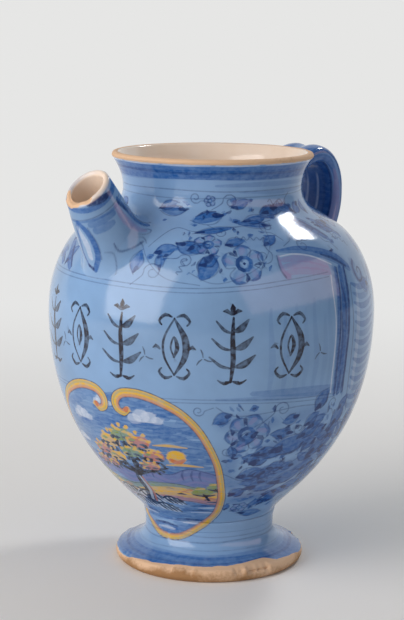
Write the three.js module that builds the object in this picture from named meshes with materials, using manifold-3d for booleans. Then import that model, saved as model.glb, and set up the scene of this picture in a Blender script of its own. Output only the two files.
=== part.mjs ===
// A spouted drug jar of tin-glazed earthenware, built as a potter builds it: a thrown body
// on a turned pedestal foot, a pulled strap handle and a rolled spout, each one luted on
// with soft clay. Millimetres, +Z up. The foot stands on z = 0 round the jar's own axis,
// the spout points to -Y and the handle stands at +Y.

import * as THREE from 'three';
import { mergeVertices } from 'three/addons/utils/BufferGeometryUtils.js';
import Module from 'manifold-3d';

const wasm = await Module();
wasm.setup();

// Body
const rimHeight = 210;
const rimRadius = 50.6;
const rimFlareDegrees = 31;
const neckRadius = 45;
const neckBelowRim = 18;
const shoulderRadius = 64.6;
const shoulderBelowNeck = 19;
const shoulderSlopeDegrees = 55;
const bellyRadius = 82.5;
const bellyHeight = 130;
const wallThickness = 5;
const neckWallThickness = 4.2;
const floorThickness = 8;
const floorCornerReach = 0.82;
const floorFlatReach = 0.55;

// How far each end of an outline curve holds its direction, as a share of the curve's height
const stemHold = 0.085;
const bellyHoldBelow = 0.68;
const bellyHoldAbove = 0.555;
const shoulderHoldBelow = 0.19;
const shoulderHoldAbove = 0.79;
const neckHoldBelow = 0.46;
const neckHoldAbove = 0.45;
const rimHold = 0.32;

// The lip's rounding, as shares of the wall at the neck
const lipOuterDrop = 0.45;
const lipShoulderDrop = 0.14;
const lipShoulderInset = 0.08;
const lipCrownOuter = 0.32;
const lipCrownInner = 0.72;
const lipInnerDrop = 0.2;

// Foot
const footRadius = 49;
const footEdgeThickness = 6.8;
const footUndercut = 3;
const footEdgeBulge = 0.9;
const footTopWidth = 4.9;
const footTopRise = 2;
const footCoveReach = 4.6;
const footCoveRise = 1.6;
const footCoveHold = 4.2;
const stemRadius = 33;
const stemBottomHeight = 17.5;
const footJointHeight = 24;
const stemFlareDegrees = 17;

// Ring of clay worked over the joint between the body and the foot
const footRingThickness = 3;
const footRingHalfHeight = 3;
const footRingBulge = 0.5;
const footRingTopBulge = 0.8;

// Spout
const spoutMouthPastBelly = 1;
const spoutMouthBelowRim = 12.2;
const spoutPitchDegrees = 59;
const spoutLipPitchDegrees = 47;
const spoutMouthRadius = 11.6;
const spoutBoreRadius = 8.7;
const spoutRootRadius = 15.8;
const spoutRootBoreRadius = 10.5;
const spoutRootOverrun = 1.3;
const spoutCutterOverrun = 1.12;
const spoutLipTurn = 1.4;
const spoutCollarRise = 11;
const spoutCollarSpread = 7;
const spoutCollarLowerSpread = 4;

// Handle
const handleStandIn = 1.2;
const handleCrownInset = 13.2;
const handleCrownBelowRim = 4.9;
const handleRootBelowCrown = 11.6;
const handleRootDepth = 3;
const handleRootHold = 8;
const handleRootRise = 0.58;
const handleSideBelowCrown = 17.5;
const handleSideHold = 0.39;
const handleJointSpan = 33.8;
const handleBaseDepth = 8;
const handleBaseDrop = 8.5;
const handleBaseHoldOut = 4.6;
const handleBaseHoldUp = 13.7;
const handleTopWidth = 25;
const handleBaseWidth = 31;
const handleTopThickness = 11;
const handleBaseThickness = 9;
const handleGrooveWidth = 3.6;
const handleGrooveDepth = 2;
const handleSquareness = 0.72;
const handleLutingRise = 5;
const handleLutingSpread = 5;

// Clearance that neighbouring pieces of one fired jar keep in this model
const jointGap = 0.3;

// Soft clay worked over a joint: how thin its edges run out, and how deep its cove sits
const lutingEdge = 0.5;
const lutingCove = 0.18;
const lutingCornerLift = 1.3;

const jarSegments = 56;
const footSegments = 56;
const spoutSegments = 36;
const strapPoints = 24;

const radians = THREE.MathUtils.degToRad;

const pale = new THREE.MeshStandardMaterial({ color: 0xa3bfe2, roughness: 0.15, metalness: 0 });
const blue = new THREE.MeshStandardMaterial({ color: 0x5d85c2, roughness: 0.15, metalness: 0 });
const joint = new THREE.MeshStandardMaterial({ color: 0x8fb0d8, roughness: 0.15, metalness: 0 });

// Points of a Bezier curve between two places. Each end has its angle off the upright and
// the share of the curve's height over which it holds that angle.
function bend(start, startAngle, startHold, end, endAngle, endHold, steps) {
  const rise = end.y - start.y;
  const away = new THREE.Vector2(Math.sin(startAngle), Math.cos(startAngle));
  const toward = new THREE.Vector2(Math.sin(endAngle), Math.cos(endAngle));
  const curve = new THREE.CubicBezierCurve(
    start,
    start.clone().addScaledVector(away, startHold * rise),
    end.clone().addScaledVector(toward, -endHold * rise),
    end,
  );
  return curve.getPoints(steps);
}

// The jar's outer profile as radius and height, from the foot joint up to the lip.
const neckHeight = rimHeight - neckBelowRim;
const shoulderHeight = neckHeight - shoulderBelowNeck;
const bodyStartHeight = footJointHeight + footRingHalfHeight;
const lipStartHeight = rimHeight - neckWallThickness * lipOuterDrop;
const bodyStart = new THREE.Vector2(stemRadius + footRingTopBulge, bodyStartHeight);
const belly = new THREE.Vector2(bellyRadius, bellyHeight);
const shoulder = new THREE.Vector2(shoulderRadius, shoulderHeight);
const neck = new THREE.Vector2(neckRadius, neckHeight);
const lipStart = new THREE.Vector2(rimRadius, lipStartHeight);
const stemAngle = radians(stemFlareDegrees);
const shoulderAngle = -radians(shoulderSlopeDegrees);
const rimAngle = radians(rimFlareDegrees);

const outerProfile = [
  ...bend(bodyStart, stemAngle, stemHold, belly, 0, bellyHoldBelow, 11).slice(0, -1),
  ...bend(belly, 0, bellyHoldAbove, shoulder, shoulderAngle, shoulderHoldBelow, 7).slice(0, -1),
  ...bend(shoulder, shoulderAngle, shoulderHoldAbove, neck, 0, neckHoldBelow, 6).slice(0, -1),
  ...bend(neck, 0, neckHoldAbove, lipStart, rimAngle, rimHold, 5),
];

function outerRadiusAt(height) {
  const last = outerProfile.length - 1;
  if (height <= outerProfile[0].y) return outerProfile[0].x;
  if (height >= outerProfile[last].y) return outerProfile[last].x;
  const above = outerProfile.findIndex((point) => point.y > height);
  const low = outerProfile[above - 1];
  const high = outerProfile[above];
  return THREE.MathUtils.mapLinear(height, low.y, high.y, low.x, high.x);
}

// Each profile point moved along its own normal; a positive distance moves it outwards.
function offsetProfile(profile, distanceAt) {
  return profile.map((point, index) => {
    const before = profile[Math.max(index - 1, 0)];
    const after = profile[Math.min(index + 1, profile.length - 1)];
    const normal = new THREE.Vector2(after.y - before.y, before.x - after.x).normalize();
    return point.clone().addScaledVector(normal, distanceAt(point));
  });
}

// A closed profile of radius and height turned round the jar's axis.
function turned(profile, segments) {
  const geometry = new THREE.LatheGeometry(profile, segments);
  geometry.rotateX(Math.PI / 2);
  return geometry;
}

function solidOf(geometry) {
  const bare = geometry.clone();
  bare.deleteAttribute('normal');
  bare.deleteAttribute('uv');
  const merged = mergeVertices(bare, 1e-4);
  const corners = [];
  const index = merged.index.array;
  for (let i = 0; i < index.length; i += 3) {
    const [a, b, c] = [index[i], index[i + 1], index[i + 2]];
    if (a !== b && b !== c && c !== a) corners.push(a, b, c);
  }
  return new wasm.Manifold(new wasm.Mesh({
    numProp: 3,
    vertProperties: Float32Array.from(merged.attributes.position.array),
    triVerts: Uint32Array.from(corners),
  }));
}

function geometryOf(solid) {
  const mesh = solid.getMesh();
  const geometry = new THREE.BufferGeometry();
  geometry.setAttribute('position', new THREE.BufferAttribute(mesh.vertProperties, 3));
  geometry.setIndex(new THREE.BufferAttribute(mesh.triVerts, 1));
  return geometry;
}

// Volume inside a closed surface, negative where its faces point inwards.
function enclosedVolume(positions, corners) {
  const corner = (index) => new THREE.Vector3().fromArray(positions, index * 3);
  let volume = 0;
  for (let i = 0; i < corners.length; i += 3) {
    const [a, b, c] = [corners[i], corners[i + 1], corners[i + 2]].map(corner);
    volume += a.dot(b.cross(c)) / 6;
  }
  return volume;
}

// Skin over a row of rings with equal point counts. A looped row joins its last ring to
// its first; otherwise both end rings are closed with flat fans.
function skin(rings, looped) {
  const count = rings[0].length;
  const positions = rings.flat().flatMap((point) => [point.x, point.y, point.z]);
  const corners = [];
  const bands = looped ? rings.length : rings.length - 1;
  for (let row = 0; row < bands; row += 1) {
    const next = (row + 1) % rings.length;
    for (let i = 0; i < count; i += 1) {
      const j = (i + 1) % count;
      corners.push(row * count + i, row * count + j, next * count + j);
      corners.push(row * count + i, next * count + j, next * count + i);
    }
  }
  if (!looped) {
    for (const [row, flip] of [[0, true], [rings.length - 1, false]]) {
      const centre = new THREE.Vector3();
      rings[row].forEach((point) => centre.addScaledVector(point, 1 / count));
      const hub = positions.length / 3;
      positions.push(centre.x, centre.y, centre.z);
      for (let i = 0; i < count; i += 1) {
        const j = (i + 1) % count;
        if (flip) corners.push(hub, row * count + j, row * count + i);
        else corners.push(hub, row * count + i, row * count + j);
      }
    }
  }
  const geometry = new THREE.BufferGeometry();
  geometry.setAttribute('position', new THREE.Float32BufferAttribute(positions, 3));
  geometry.setIndex(enclosedVolume(positions, corners) > 0 ? corners : corners.reverse());
  return geometry;
}

// Distance of a point outside the body's outer surface, measured level with the point.
function clearOfBody(point) {
  return Math.hypot(point.x, point.y) - outerRadiusAt(point.z);
}

// The point's nearest place on the body, stood off from the glaze by the given distance.
function settleOnBody(point, standOff) {
  const settled = point.clone();
  const step = 0.5;
  for (let turn = 0; turn < 6; turn += 1) {
    const slope = (outerRadiusAt(settled.z + step) - outerRadiusAt(settled.z - step)) / (2 * step);
    const steepness = Math.hypot(1, slope);
    const move = (standOff - clearOfBody(settled) / steepness) / steepness;
    const level = Math.hypot(settled.x, settled.y);
    settled.x += move * settled.x / level;
    settled.y += move * settled.y / level;
    settled.z -= move * slope;
  }
  return settled;
}

function bodyNormalAt(point) {
  const low = outerRadiusAt(point.z - 0.5);
  const high = outerRadiusAt(point.z + 0.5);
  const level = Math.hypot(point.x, point.y);
  return new THREE.Vector3(point.x / level, point.y / level, low - high).normalize();
}

// A fillet of soft clay worked round the place where a limb meets the body. The limb is a
// function that gives the point at a distance along one of its long edges, growing away
// from the body, and that edge's outward direction.
function lutingRing(edges, limb, rise, spreadAt) {
  const rings = edges.map((edge) => {
    const spread = spreadAt(edge);
    let inside = limb.insideAt;
    let outside = limb.outsideAt;
    for (let turn = 0; turn < 30; turn += 1) {
      const middle = (inside + outside) / 2;
      if (clearOfBody(limb.pointAt(edge, middle)) > jointGap) outside = middle;
      else inside = middle;
    }
    const outward = limb.outwardAt(edge, outside);
    const onLimb = (distance, standOff) => limb.pointAt(edge, outside + limb.sense * distance)
      .addScaledVector(limb.outwardAt(edge, outside + limb.sense * distance), standOff);
    const meeting = onLimb(0, jointGap);
    const normal = bodyNormalAt(meeting);
    const along = outward.clone().addScaledVector(normal, -outward.dot(normal)).normalize();
    const onBody = (distance, standOff) => settleOnBody(
      meeting.clone().addScaledVector(along, distance),
      standOff,
    );
    const corner = settleOnBody(meeting, jointGap * lutingCornerLift);
    const top = onLimb(rise, jointGap + lutingEdge);
    const foot = onBody(spread, jointGap + lutingEdge);
    const hollow = onLimb(rise * lutingCove, jointGap + lutingEdge)
      .lerp(onBody(spread * lutingCove, jointGap + lutingEdge), 0.5);
    const cove = new THREE.QuadraticBezierCurve3(foot, hollow, top).getPoints(5);
    return [
      onLimb(rise, jointGap),
      onLimb(rise * 0.5, jointGap),
      corner,
      onBody(spread * 0.5, jointGap),
      onBody(spread, jointGap),
      ...cove,
    ];
  });
  return skin(rings, true);
}

// Body: thrown in one piece from floor to lip, and pierced for the spout.
const lip = [
  [lipShoulderInset, lipShoulderDrop],
  [lipCrownOuter, 0],
  [lipCrownInner, 0],
  [1, lipInnerDrop],
].map(([inset, drop]) => new THREE.Vector2(
  rimRadius - neckWallThickness * inset,
  rimHeight - neckWallThickness * drop,
));
const wallAt = (point) => -THREE.MathUtils.mapLinear(
  THREE.MathUtils.clamp(point.y, bellyHeight, neckHeight),
  bellyHeight,
  neckHeight,
  wallThickness,
  neckWallThickness,
);
const floorHeight = footJointHeight + floorThickness;
const innerWall = offsetProfile(outerProfile, wallAt)
  .filter((point) => point.y > floorHeight + wallThickness && point.y < lipStartHeight - 1)
  .reverse();
const floorCorner = innerWall[innerWall.length - 1];
const grooveRadius = stemRadius - footRingThickness;
const bodyProfile = [
  new THREE.Vector2(0, footJointHeight),
  new THREE.Vector2(grooveRadius, footJointHeight),
  new THREE.Vector2(grooveRadius, bodyStartHeight),
  ...outerProfile,
  ...lip,
  ...innerWall,
  floorCorner.clone().lerp(new THREE.Vector2(floorCorner.x * floorFlatReach, floorHeight), 0.5)
    .setX(floorCorner.x * floorCornerReach),
  new THREE.Vector2(floorCorner.x * floorFlatReach, floorHeight),
  new THREE.Vector2(0, floorHeight),
];

// Spout: rings along its axis, whose planes tilt from the lip's pitch to the axis's own.
const spoutPitch = radians(spoutPitchDegrees);
const spoutAxis = new THREE.Vector3(0, -Math.cos(spoutPitch), Math.sin(spoutPitch));
const spoutReach = bellyRadius + spoutMouthPastBelly;
const spoutMouth = new THREE.Vector3(0, -spoutReach, rimHeight - spoutMouthBelowRim);
const spoutLength = (() => {
  let length = 0;
  while (clearOfBody(spoutMouth.clone().addScaledVector(spoutAxis, -length)) > 0) length += 0.1;
  return length;
})();
const spoutEnd = spoutLength + spoutRootRadius * spoutRootOverrun;

function spoutRadiusAt(distance) {
  return THREE.MathUtils.mapLinear(distance, 0, spoutLength, spoutMouthRadius, spoutRootRadius);
}

function spoutBoreAt(distance) {
  return THREE.MathUtils.mapLinear(distance, 0, spoutLength, spoutBoreRadius, spoutRootBoreRadius);
}

function spoutSide(distance, turn) {
  const blend = THREE.MathUtils.smoothstep(distance, 0, spoutMouthRadius * spoutLipTurn);
  const pitch = THREE.MathUtils.lerp(radians(spoutLipPitchDegrees), spoutPitch, blend);
  const across = new THREE.Vector3(0, Math.sin(pitch), Math.cos(pitch));
  return new THREE.Vector3(Math.cos(turn), 0, 0).addScaledVector(across, Math.sin(turn));
}

function spoutPoint(distance, radius, turn) {
  return spoutMouth.clone()
    .addScaledVector(spoutAxis, -distance)
    .addScaledVector(spoutSide(distance, turn), radius);
}

const spoutTurns = Array.from(
  { length: spoutSegments },
  (unused, index) => (index / spoutSegments) * 2 * Math.PI,
);

function spoutRing(distance, radius) {
  return spoutTurns.map((turn) => spoutPoint(distance, radius, turn));
}

const spoutWall = spoutMouthRadius - spoutBoreRadius;
const spoutSteps = [0.06, 0.15, 0.28, 0.45, 0.65, 0.85, 1].map((share) => share * spoutEnd);
const spoutRings = [
  ...spoutSteps.toReversed().map((distance) => spoutRing(distance, spoutBoreAt(distance))),
  spoutRing(spoutWall * 0.2, spoutBoreRadius + spoutWall * 0.12),
  spoutRing(0, spoutBoreRadius + spoutWall * 0.38),
  spoutRing(0, spoutMouthRadius - spoutWall * 0.38),
  spoutRing(spoutWall * 0.3, spoutMouthRadius - spoutWall * 0.05),
  ...spoutSteps.map((distance) => spoutRing(distance, spoutRadiusAt(distance))),
];
const boreRings = [-spoutWall, spoutEnd * 0.5, spoutEnd * spoutCutterOverrun].map(
  (distance) => spoutRing(distance, spoutBoreAt(Math.max(distance, 0))),
);

// Handle: a flat strap with two rolls on its outside, swept over the crown from the neck to
// the belly.
const crownHeight = rimHeight - handleCrownBelowRim;
const handleReach = bellyRadius - handleStandIn;
const crownRadius = handleReach - handleCrownInset;
const sideHeight = crownHeight - handleSideBelowCrown;
const at = (radius, height) => new THREE.Vector3(0, radius, height);
const quarterTurnHold = 0.5523;
const rootHeight = crownHeight - handleRootBelowCrown;
const baseHeight = rootHeight - handleJointSpan;
const baseRadius = outerRadiusAt(baseHeight);
const rootPlace = at(neckRadius - handleRootDepth, rootHeight);
const crownPlace = at(crownRadius, crownHeight);
const sidePlace = at(handleReach, sideHeight);
const basePlace = at(baseRadius - handleBaseDepth, baseHeight - handleBaseDrop);
const handlePath = new THREE.CurvePath();
handlePath.add(new THREE.CubicBezierCurve3(
  rootPlace,
  at(neckRadius + handleRootHold, rootHeight + handleRootBelowCrown * handleRootRise),
  at(crownRadius - handleCrownInset * 0.5, crownHeight),
  crownPlace,
));
handlePath.add(new THREE.CubicBezierCurve3(
  crownPlace,
  at(crownRadius + handleCrownInset * quarterTurnHold, crownHeight),
  at(handleReach, sideHeight + handleSideBelowCrown * quarterTurnHold),
  sidePlace,
));
handlePath.add(new THREE.CubicBezierCurve3(
  sidePlace,
  at(handleReach, sideHeight - (sideHeight - baseHeight) * handleSideHold),
  at(baseRadius + handleBaseHoldOut, baseHeight + handleBaseHoldUp),
  basePlace,
));
const handleLength = handlePath.getLength();

// One point of the strap's edge: place is a share of the path, turn goes round the section.
function strapPoint(place, turn) {
  const share = THREE.MathUtils.clamp(place, 0, 1);
  const centre = handlePath.getPointAt(share);
  const tangent = handlePath.getTangentAt(share);
  const outward = new THREE.Vector3(0, -tangent.z, tangent.y);
  const half = THREE.MathUtils.lerp(handleTopWidth, handleBaseWidth, share) / 2;
  const thick = THREE.MathUtils.lerp(handleTopThickness, handleBaseThickness, share) / 2;
  const squash = (value) => Math.sign(value) * Math.abs(value) ** handleSquareness;
  const across = half * squash(Math.cos(turn));
  const groove = handleGrooveDepth * Math.exp(-((across / handleGrooveWidth) ** 2));
  const up = thick * squash(Math.sin(turn)) - (Math.sin(turn) > 0 ? groove : 0);
  return centre.add(new THREE.Vector3(across, 0, 0)).addScaledVector(outward, up);
}

function strapOutward(place, turn) {
  const tangent = handlePath.getTangentAt(THREE.MathUtils.clamp(place, 0, 1));
  const small = 0.05;
  const side = strapPoint(place, turn + small).sub(strapPoint(place, turn - small));
  return new THREE.Vector3().crossVectors(tangent, side).normalize();
}

const strapTurns = Array.from(
  { length: strapPoints },
  (unused, index) => ((index + 0.5) / strapPoints) * 2 * Math.PI,
);
const strapRings = [0, 0.05, 0.11, 0.18, 0.25, 0.32, 0.38, 0.43, 0.48, 0.53, 0.59, 0.65, 0.71,
  0.77, 0.83, 0.89, 0.94, 1].map((place) => strapTurns.map((turn) => strapPoint(place, turn)));

// Foot: turned solid, with a flat unglazed underside and a rounded edge.
const footEdge = new THREE.QuadraticBezierCurve(
  new THREE.Vector2(footRadius - footUndercut, 0),
  new THREE.Vector2(footRadius + footEdgeBulge, footEdgeThickness * 0.35),
  new THREE.Vector2(footRadius - footUndercut * 0.5, footEdgeThickness * 0.9),
).getPoints(5);
const footTopStart = new THREE.Vector2(footRadius - footUndercut, footEdgeThickness);
const footTopEnd = new THREE.Vector2(
  footRadius - footUndercut - footTopWidth,
  footEdgeThickness + footTopRise,
);
const footCove = new THREE.CubicBezierCurve(
  footTopEnd,
  new THREE.Vector2(stemRadius + footCoveReach, footTopEnd.y + footCoveRise),
  new THREE.Vector2(stemRadius, stemBottomHeight - footCoveHold),
  new THREE.Vector2(stemRadius, stemBottomHeight),
).getPoints(6);
const footTop = footJointHeight - footRingHalfHeight;
const footProfile = [
  new THREE.Vector2(0, 0),
  ...footEdge,
  footTopStart,
  ...footCove,
  new THREE.Vector2(stemRadius, footTop),
  new THREE.Vector2(grooveRadius, footTop),
  new THREE.Vector2(grooveRadius, footJointHeight),
  new THREE.Vector2(0, footJointHeight),
];

// Ring of clay worked into the groove that the foot and the body leave at their joint.
const ringInside = grooveRadius + jointGap;
const ringBottom = footTop + jointGap;
const ringTop = bodyStartHeight - jointGap;
const footRingProfile = [
  new THREE.Vector2(ringInside, ringBottom),
  new THREE.Vector2(stemRadius, ringBottom),
  new THREE.Vector2(stemRadius + footRingBulge, footJointHeight),
  new THREE.Vector2(bodyStart.x, ringTop),
  new THREE.Vector2(ringInside, ringTop),
  new THREE.Vector2(ringInside, ringBottom),
];

// The body's outside swollen by the gap, as the shape that limbs are cut back to.
const swollen = offsetProfile(outerProfile, () => jointGap / Math.cos(Math.PI / jarSegments));
const cutterProfile = [
  new THREE.Vector2(0, bodyStartHeight),
  ...swollen,
  new THREE.Vector2(rimRadius + jointGap, rimHeight + 1),
  new THREE.Vector2(0, rimHeight + 1),
];
const cutter = solidOf(turned(cutterProfile, jarSegments));

const jarBody = solidOf(turned(bodyProfile, jarSegments))
  .subtract(solidOf(skin(boreRings, false)));
const spoutSolid = solidOf(skin(spoutRings, true)).subtract(cutter);
const handleSolid = solidOf(skin(strapRings, false)).subtract(cutter);

const spoutLimb = {
  insideAt: spoutEnd,
  outsideAt: 0,
  sense: -1,
  pointAt: (turn, distance) => spoutPoint(distance, spoutRadiusAt(distance), turn),
  outwardAt: (turn, distance) => spoutSide(distance, turn),
};
const handleTopLimb = {
  insideAt: 0,
  outsideAt: 0.2,
  sense: 1 / handleLength,
  pointAt: (turn, place) => strapPoint(place, turn),
  outwardAt: (turn, place) => strapOutward(place, turn),
};
const handleBaseLimb = {
  insideAt: 1,
  outsideAt: 0.75,
  sense: -1 / handleLength,
  pointAt: (turn, place) => strapPoint(place, turn),
  outwardAt: (turn, place) => strapOutward(place, turn),
};

const collarSpreadAt = (turn) => THREE.MathUtils.mapLinear(
  Math.sin(turn),
  -1,
  1,
  spoutCollarLowerSpread,
  spoutCollarSpread,
);
const strapSpreadAt = () => handleLutingSpread;
const collar = lutingRing(spoutTurns, spoutLimb, spoutCollarRise, collarSpreadAt);
const topLuting = lutingRing(strapTurns, handleTopLimb, handleLutingRise, strapSpreadAt);
const baseLuting = lutingRing(strapTurns, handleBaseLimb, handleLutingRise, strapSpreadAt);

function piece(name, geometry, material) {
  const mesh = new THREE.Mesh(geometry, material);
  mesh.name = name;
  return mesh;
}

const jar = new THREE.Group();
const stand = new THREE.Group();
stand.add(piece('pedestal_foot', turned(footProfile, footSegments), blue));
stand.add(piece('foot_luting_ring', turned(footRingProfile, footSegments), joint));
const vessel = new THREE.Group();
vessel.add(piece('jar_body', geometryOf(jarBody), pale));
const pourer = new THREE.Group();
pourer.add(piece('pouring_spout', geometryOf(spoutSolid), pale));
pourer.add(piece('spout_luting_collar', collar, joint));
const grip = new THREE.Group();
grip.add(piece('strap_handle', geometryOf(handleSolid), blue));
grip.add(piece('handle_top_luting', topLuting, joint));
grip.add(piece('handle_base_luting', baseLuting, joint));
jar.add(stand, vessel, pourer, grip);

export default jar;
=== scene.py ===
import math

import bpy
import numpy as np
from mathutils import Matrix, Vector
from mathutils.geometry import delaunay_2d_cdt


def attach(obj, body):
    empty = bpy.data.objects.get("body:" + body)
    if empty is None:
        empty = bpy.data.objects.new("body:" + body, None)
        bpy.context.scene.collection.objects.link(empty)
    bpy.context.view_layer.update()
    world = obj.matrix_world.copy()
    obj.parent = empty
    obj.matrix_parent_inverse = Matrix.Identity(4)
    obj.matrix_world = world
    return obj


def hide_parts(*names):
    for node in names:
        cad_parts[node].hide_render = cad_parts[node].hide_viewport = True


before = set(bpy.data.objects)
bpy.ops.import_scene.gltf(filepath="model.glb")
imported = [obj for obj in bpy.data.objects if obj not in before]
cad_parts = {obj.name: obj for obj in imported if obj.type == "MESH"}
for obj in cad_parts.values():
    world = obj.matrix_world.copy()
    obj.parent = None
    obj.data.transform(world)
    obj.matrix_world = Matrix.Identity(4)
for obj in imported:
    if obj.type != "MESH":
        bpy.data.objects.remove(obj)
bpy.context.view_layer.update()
# One seed for all the loose brushwork, drawn from in the order of this script
chance = np.random.default_rng(11)


# Jar body
# The body is one wall of buff earthenware, thrown on a wheel, dipped in a pale blue tin glaze
# and painted on the raw glaze with cobalt, manganese, yellow and orange before the last firing.
# Lengths are in millimetres, and places on the profile are (radius, height).
NECK = (45.0, 192.0)
SHOULDER = (64.6, 173.0)
BELLY = (82.5, 130.0)
BODY_START = (33.8, 27.0)
LIP_START = (50.6, 208.1)
NECK_WALL = 4.2
BODY_WALL = 5.0
FLOOR_HEIGHT = 32.0
JOINT_HEIGHT = 24.0
GROOVE_RADIUS = 30.0
UNROLL_RADIUS = 80.0
PAINT_TURN = math.radians(7)
# A mark fades over FEATHER to both sides of its edge, and over all its width where thin.
FEATHER = 0.16
THIN_HALF = 0.6
MESH_STEP = 3.0
WELDS_PER_MM = 400
BAND_MIDDLE = 126
# Azimuths in degrees, where the neck bands end at the back and the last leaf may stand
SEAM_AZIMUTH = 178.4
LAST_LEAF_AZIMUTH = 174
# The lip is worn above WORN_LIP_HEIGHT, and cream inside from row CREAM_LIP_ROW on.
WORN_LIP_HEIGHT = 207.5
CREAM_LIP_ROW = 5
# How light the bare clay is on the body and spout, where no shade is painted into it.
FRESH_CLAY = 0.6

GLAZE = "#82a6d0"
INSIDE_GLAZE = ("#f2dac2", "#fdeee0")
GLAZE_ROUGHNESS = 0.11
INKS = {
    "wash": "#285fa6",
    "plum": "#8a86b8",
    "yellow": "#dfb030",
    "orange": "#c96d20",
    "green": "#7f9440",
    "white": "#d3dcec",
    "line": "#14346f",
    "dark": "#17172a",
}
CLAY = "#e2bd9a"
CLAY_DARK = "#a67c52"


def linear(code):
    """A colour written as sRGB hex, as the linear values that nodes take."""
    parts = [int(code[i:i + 2], 16) / 255 for i in (1, 3, 5)]
    return [c / 12.92 if c <= 0.04045 else ((c + 0.055) / 1.055) ** 2.4 for c in parts] + [1.0]


def add(tree, kind, inputs=None, **settings):
    """Adds a node, sets its settings, and gives each named input a value or a link."""
    made = tree.nodes.new(kind)
    for key, value in settings.items():
        setattr(made, key, value)
    for key, value in (inputs or {}).items():
        if isinstance(value, bpy.types.NodeSocket):
            tree.links.new(value, made.inputs[key])
        else:
            made.inputs[key].default_value = value
    return made


def cubic(t, start, start_hold, end_hold, end):
    """Places on a Bezier curve, each at a share t of the way."""
    return ((1 - t) ** 3 * start + 3 * (1 - t) ** 2 * t * start_hold
            + 3 * (1 - t) * t ** 2 * end_hold + t ** 3 * end)


def bend(start, start_angle, start_hold, end, end_angle, end_hold, steps):
    """Points of a Bezier curve between two places with an angle off the upright at each end."""
    start, end = np.array(start), np.array(end)
    rise = end[1] - start[1]
    away = np.array([math.sin(start_angle), math.cos(start_angle)]) * start_hold * rise
    toward = np.array([math.sin(end_angle), math.cos(end_angle)]) * end_hold * rise
    t = np.linspace(0, 1, steps + 1)[:, None]
    return cubic(t, start, start + away, end - toward, end)


outline = np.vstack([
    bend(BODY_START, math.radians(17), 0.085, BELLY, 0, 0.68, 120)[:-1],
    bend(BELLY, 0, 0.555, SHOULDER, math.radians(-55), 0.19, 80)[:-1],
    bend(SHOULDER, math.radians(-55), 0.79, NECK, 0, 0.46, 60)[:-1],
    bend(NECK, 0, 0.45, LIP_START, math.radians(31), 0.32, 40),
])
outline_run = np.concatenate([[0], np.cumsum(np.hypot(*np.diff(outline, axis=0).T))])
outline_slope = np.gradient(outline, outline_run, axis=0)


def radius_at_height(height):
    return np.interp(height, outline[:, 1], outline[:, 0])


def run_at_height(height):
    return np.interp(height, outline[:, 1], outline_run)


def radius_at_run(run):
    return np.interp(run, outline_run, outline[:, 0])


strokes = []


def smooth(points):
    """A row of (x, y, half width) made into a flowing path with a point about every 1.2 mm."""
    points = np.array(points, float)
    if len(points) < 2:
        points = np.vstack([points, points + [0.05, 0, 0]])
    padded = np.vstack([2 * points[0] - points[1], points, 2 * points[-1] - points[-2]])
    rows = []
    for a, b, c, d in zip(padded, padded[1:], padded[2:], padded[3:]):
        count = max(int(np.hypot(*(c - b)[:2]) / 1.2), 1)
        t = (np.arange(count) / count)[:, None]
        rows.append(0.5 * (2 * b + (c - a) * t + (2 * a - 5 * b + 4 * c - d) * t ** 2
                           + (3 * b - a - 3 * c + d) * t ** 3))
    path = np.vstack(rows + [points[-1:]])
    path[:, 2] = np.maximum(path[:, 2], 0.05)
    return path


def stroke_of(path, half, ink, density=1.0, core=1.0, clip="", soft=FEATHER):
    """What is kept of a brush mark: its unrolled path, its half widths and how it covers.
    core is the share of the density that is left in the middle of a wide mark."""
    return {"path": path, "half": half, "ink": ink, "density": density,
            "core": core, "clip": clip, "soft": soft}


def mark(spot, points, ink, density=1.0, core=1.0, clip="", soft=FEATHER):
    """One brush mark. spot is (azimuth, height, turn, size) on the jar; points are in mm.
    Azimuths count in degrees from the middle of the medallion, PAINT_TURN beside the spout."""
    azimuth, height, turn, size = spot
    path = smooth(points)
    angle = math.radians(turn)
    x, y, half = path.T
    x = x * np.sign(size)
    across = (x * math.cos(angle) - y * math.sin(angle)) * abs(size)
    along = (x * math.sin(angle) + y * math.cos(angle)) * abs(size)
    run = run_at_height(height) + along
    squeeze = UNROLL_RADIUS / radius_at_run(run)
    unrolled = np.column_stack([math.radians(azimuth) * UNROLL_RADIUS + across * squeeze, run])
    strokes.append(stroke_of(unrolled, half * abs(size) ** 0.8, ink, density, core, clip, soft))


def ribbon(places, half, ink, density=1.0, core=1.0):
    """A mark through places given as (azimuth, height) or (azimuth, height, half width)."""
    rows = [place if len(place) == 3 else (*place, half) for place in places]
    local = []
    for azimuth, height, width in rows:
        radius = radius_at_height(height)
        local.append((math.radians(azimuth) * radius, run_at_height(height), width))
    path = smooth(local)
    squeeze = UNROLL_RADIUS / radius_at_run(path[:, 1])
    unrolled = np.column_stack([path[:, 0] * squeeze, path[:, 1]])
    strokes.append(stroke_of(unrolled, path[:, 2], ink, density, core))


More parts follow.
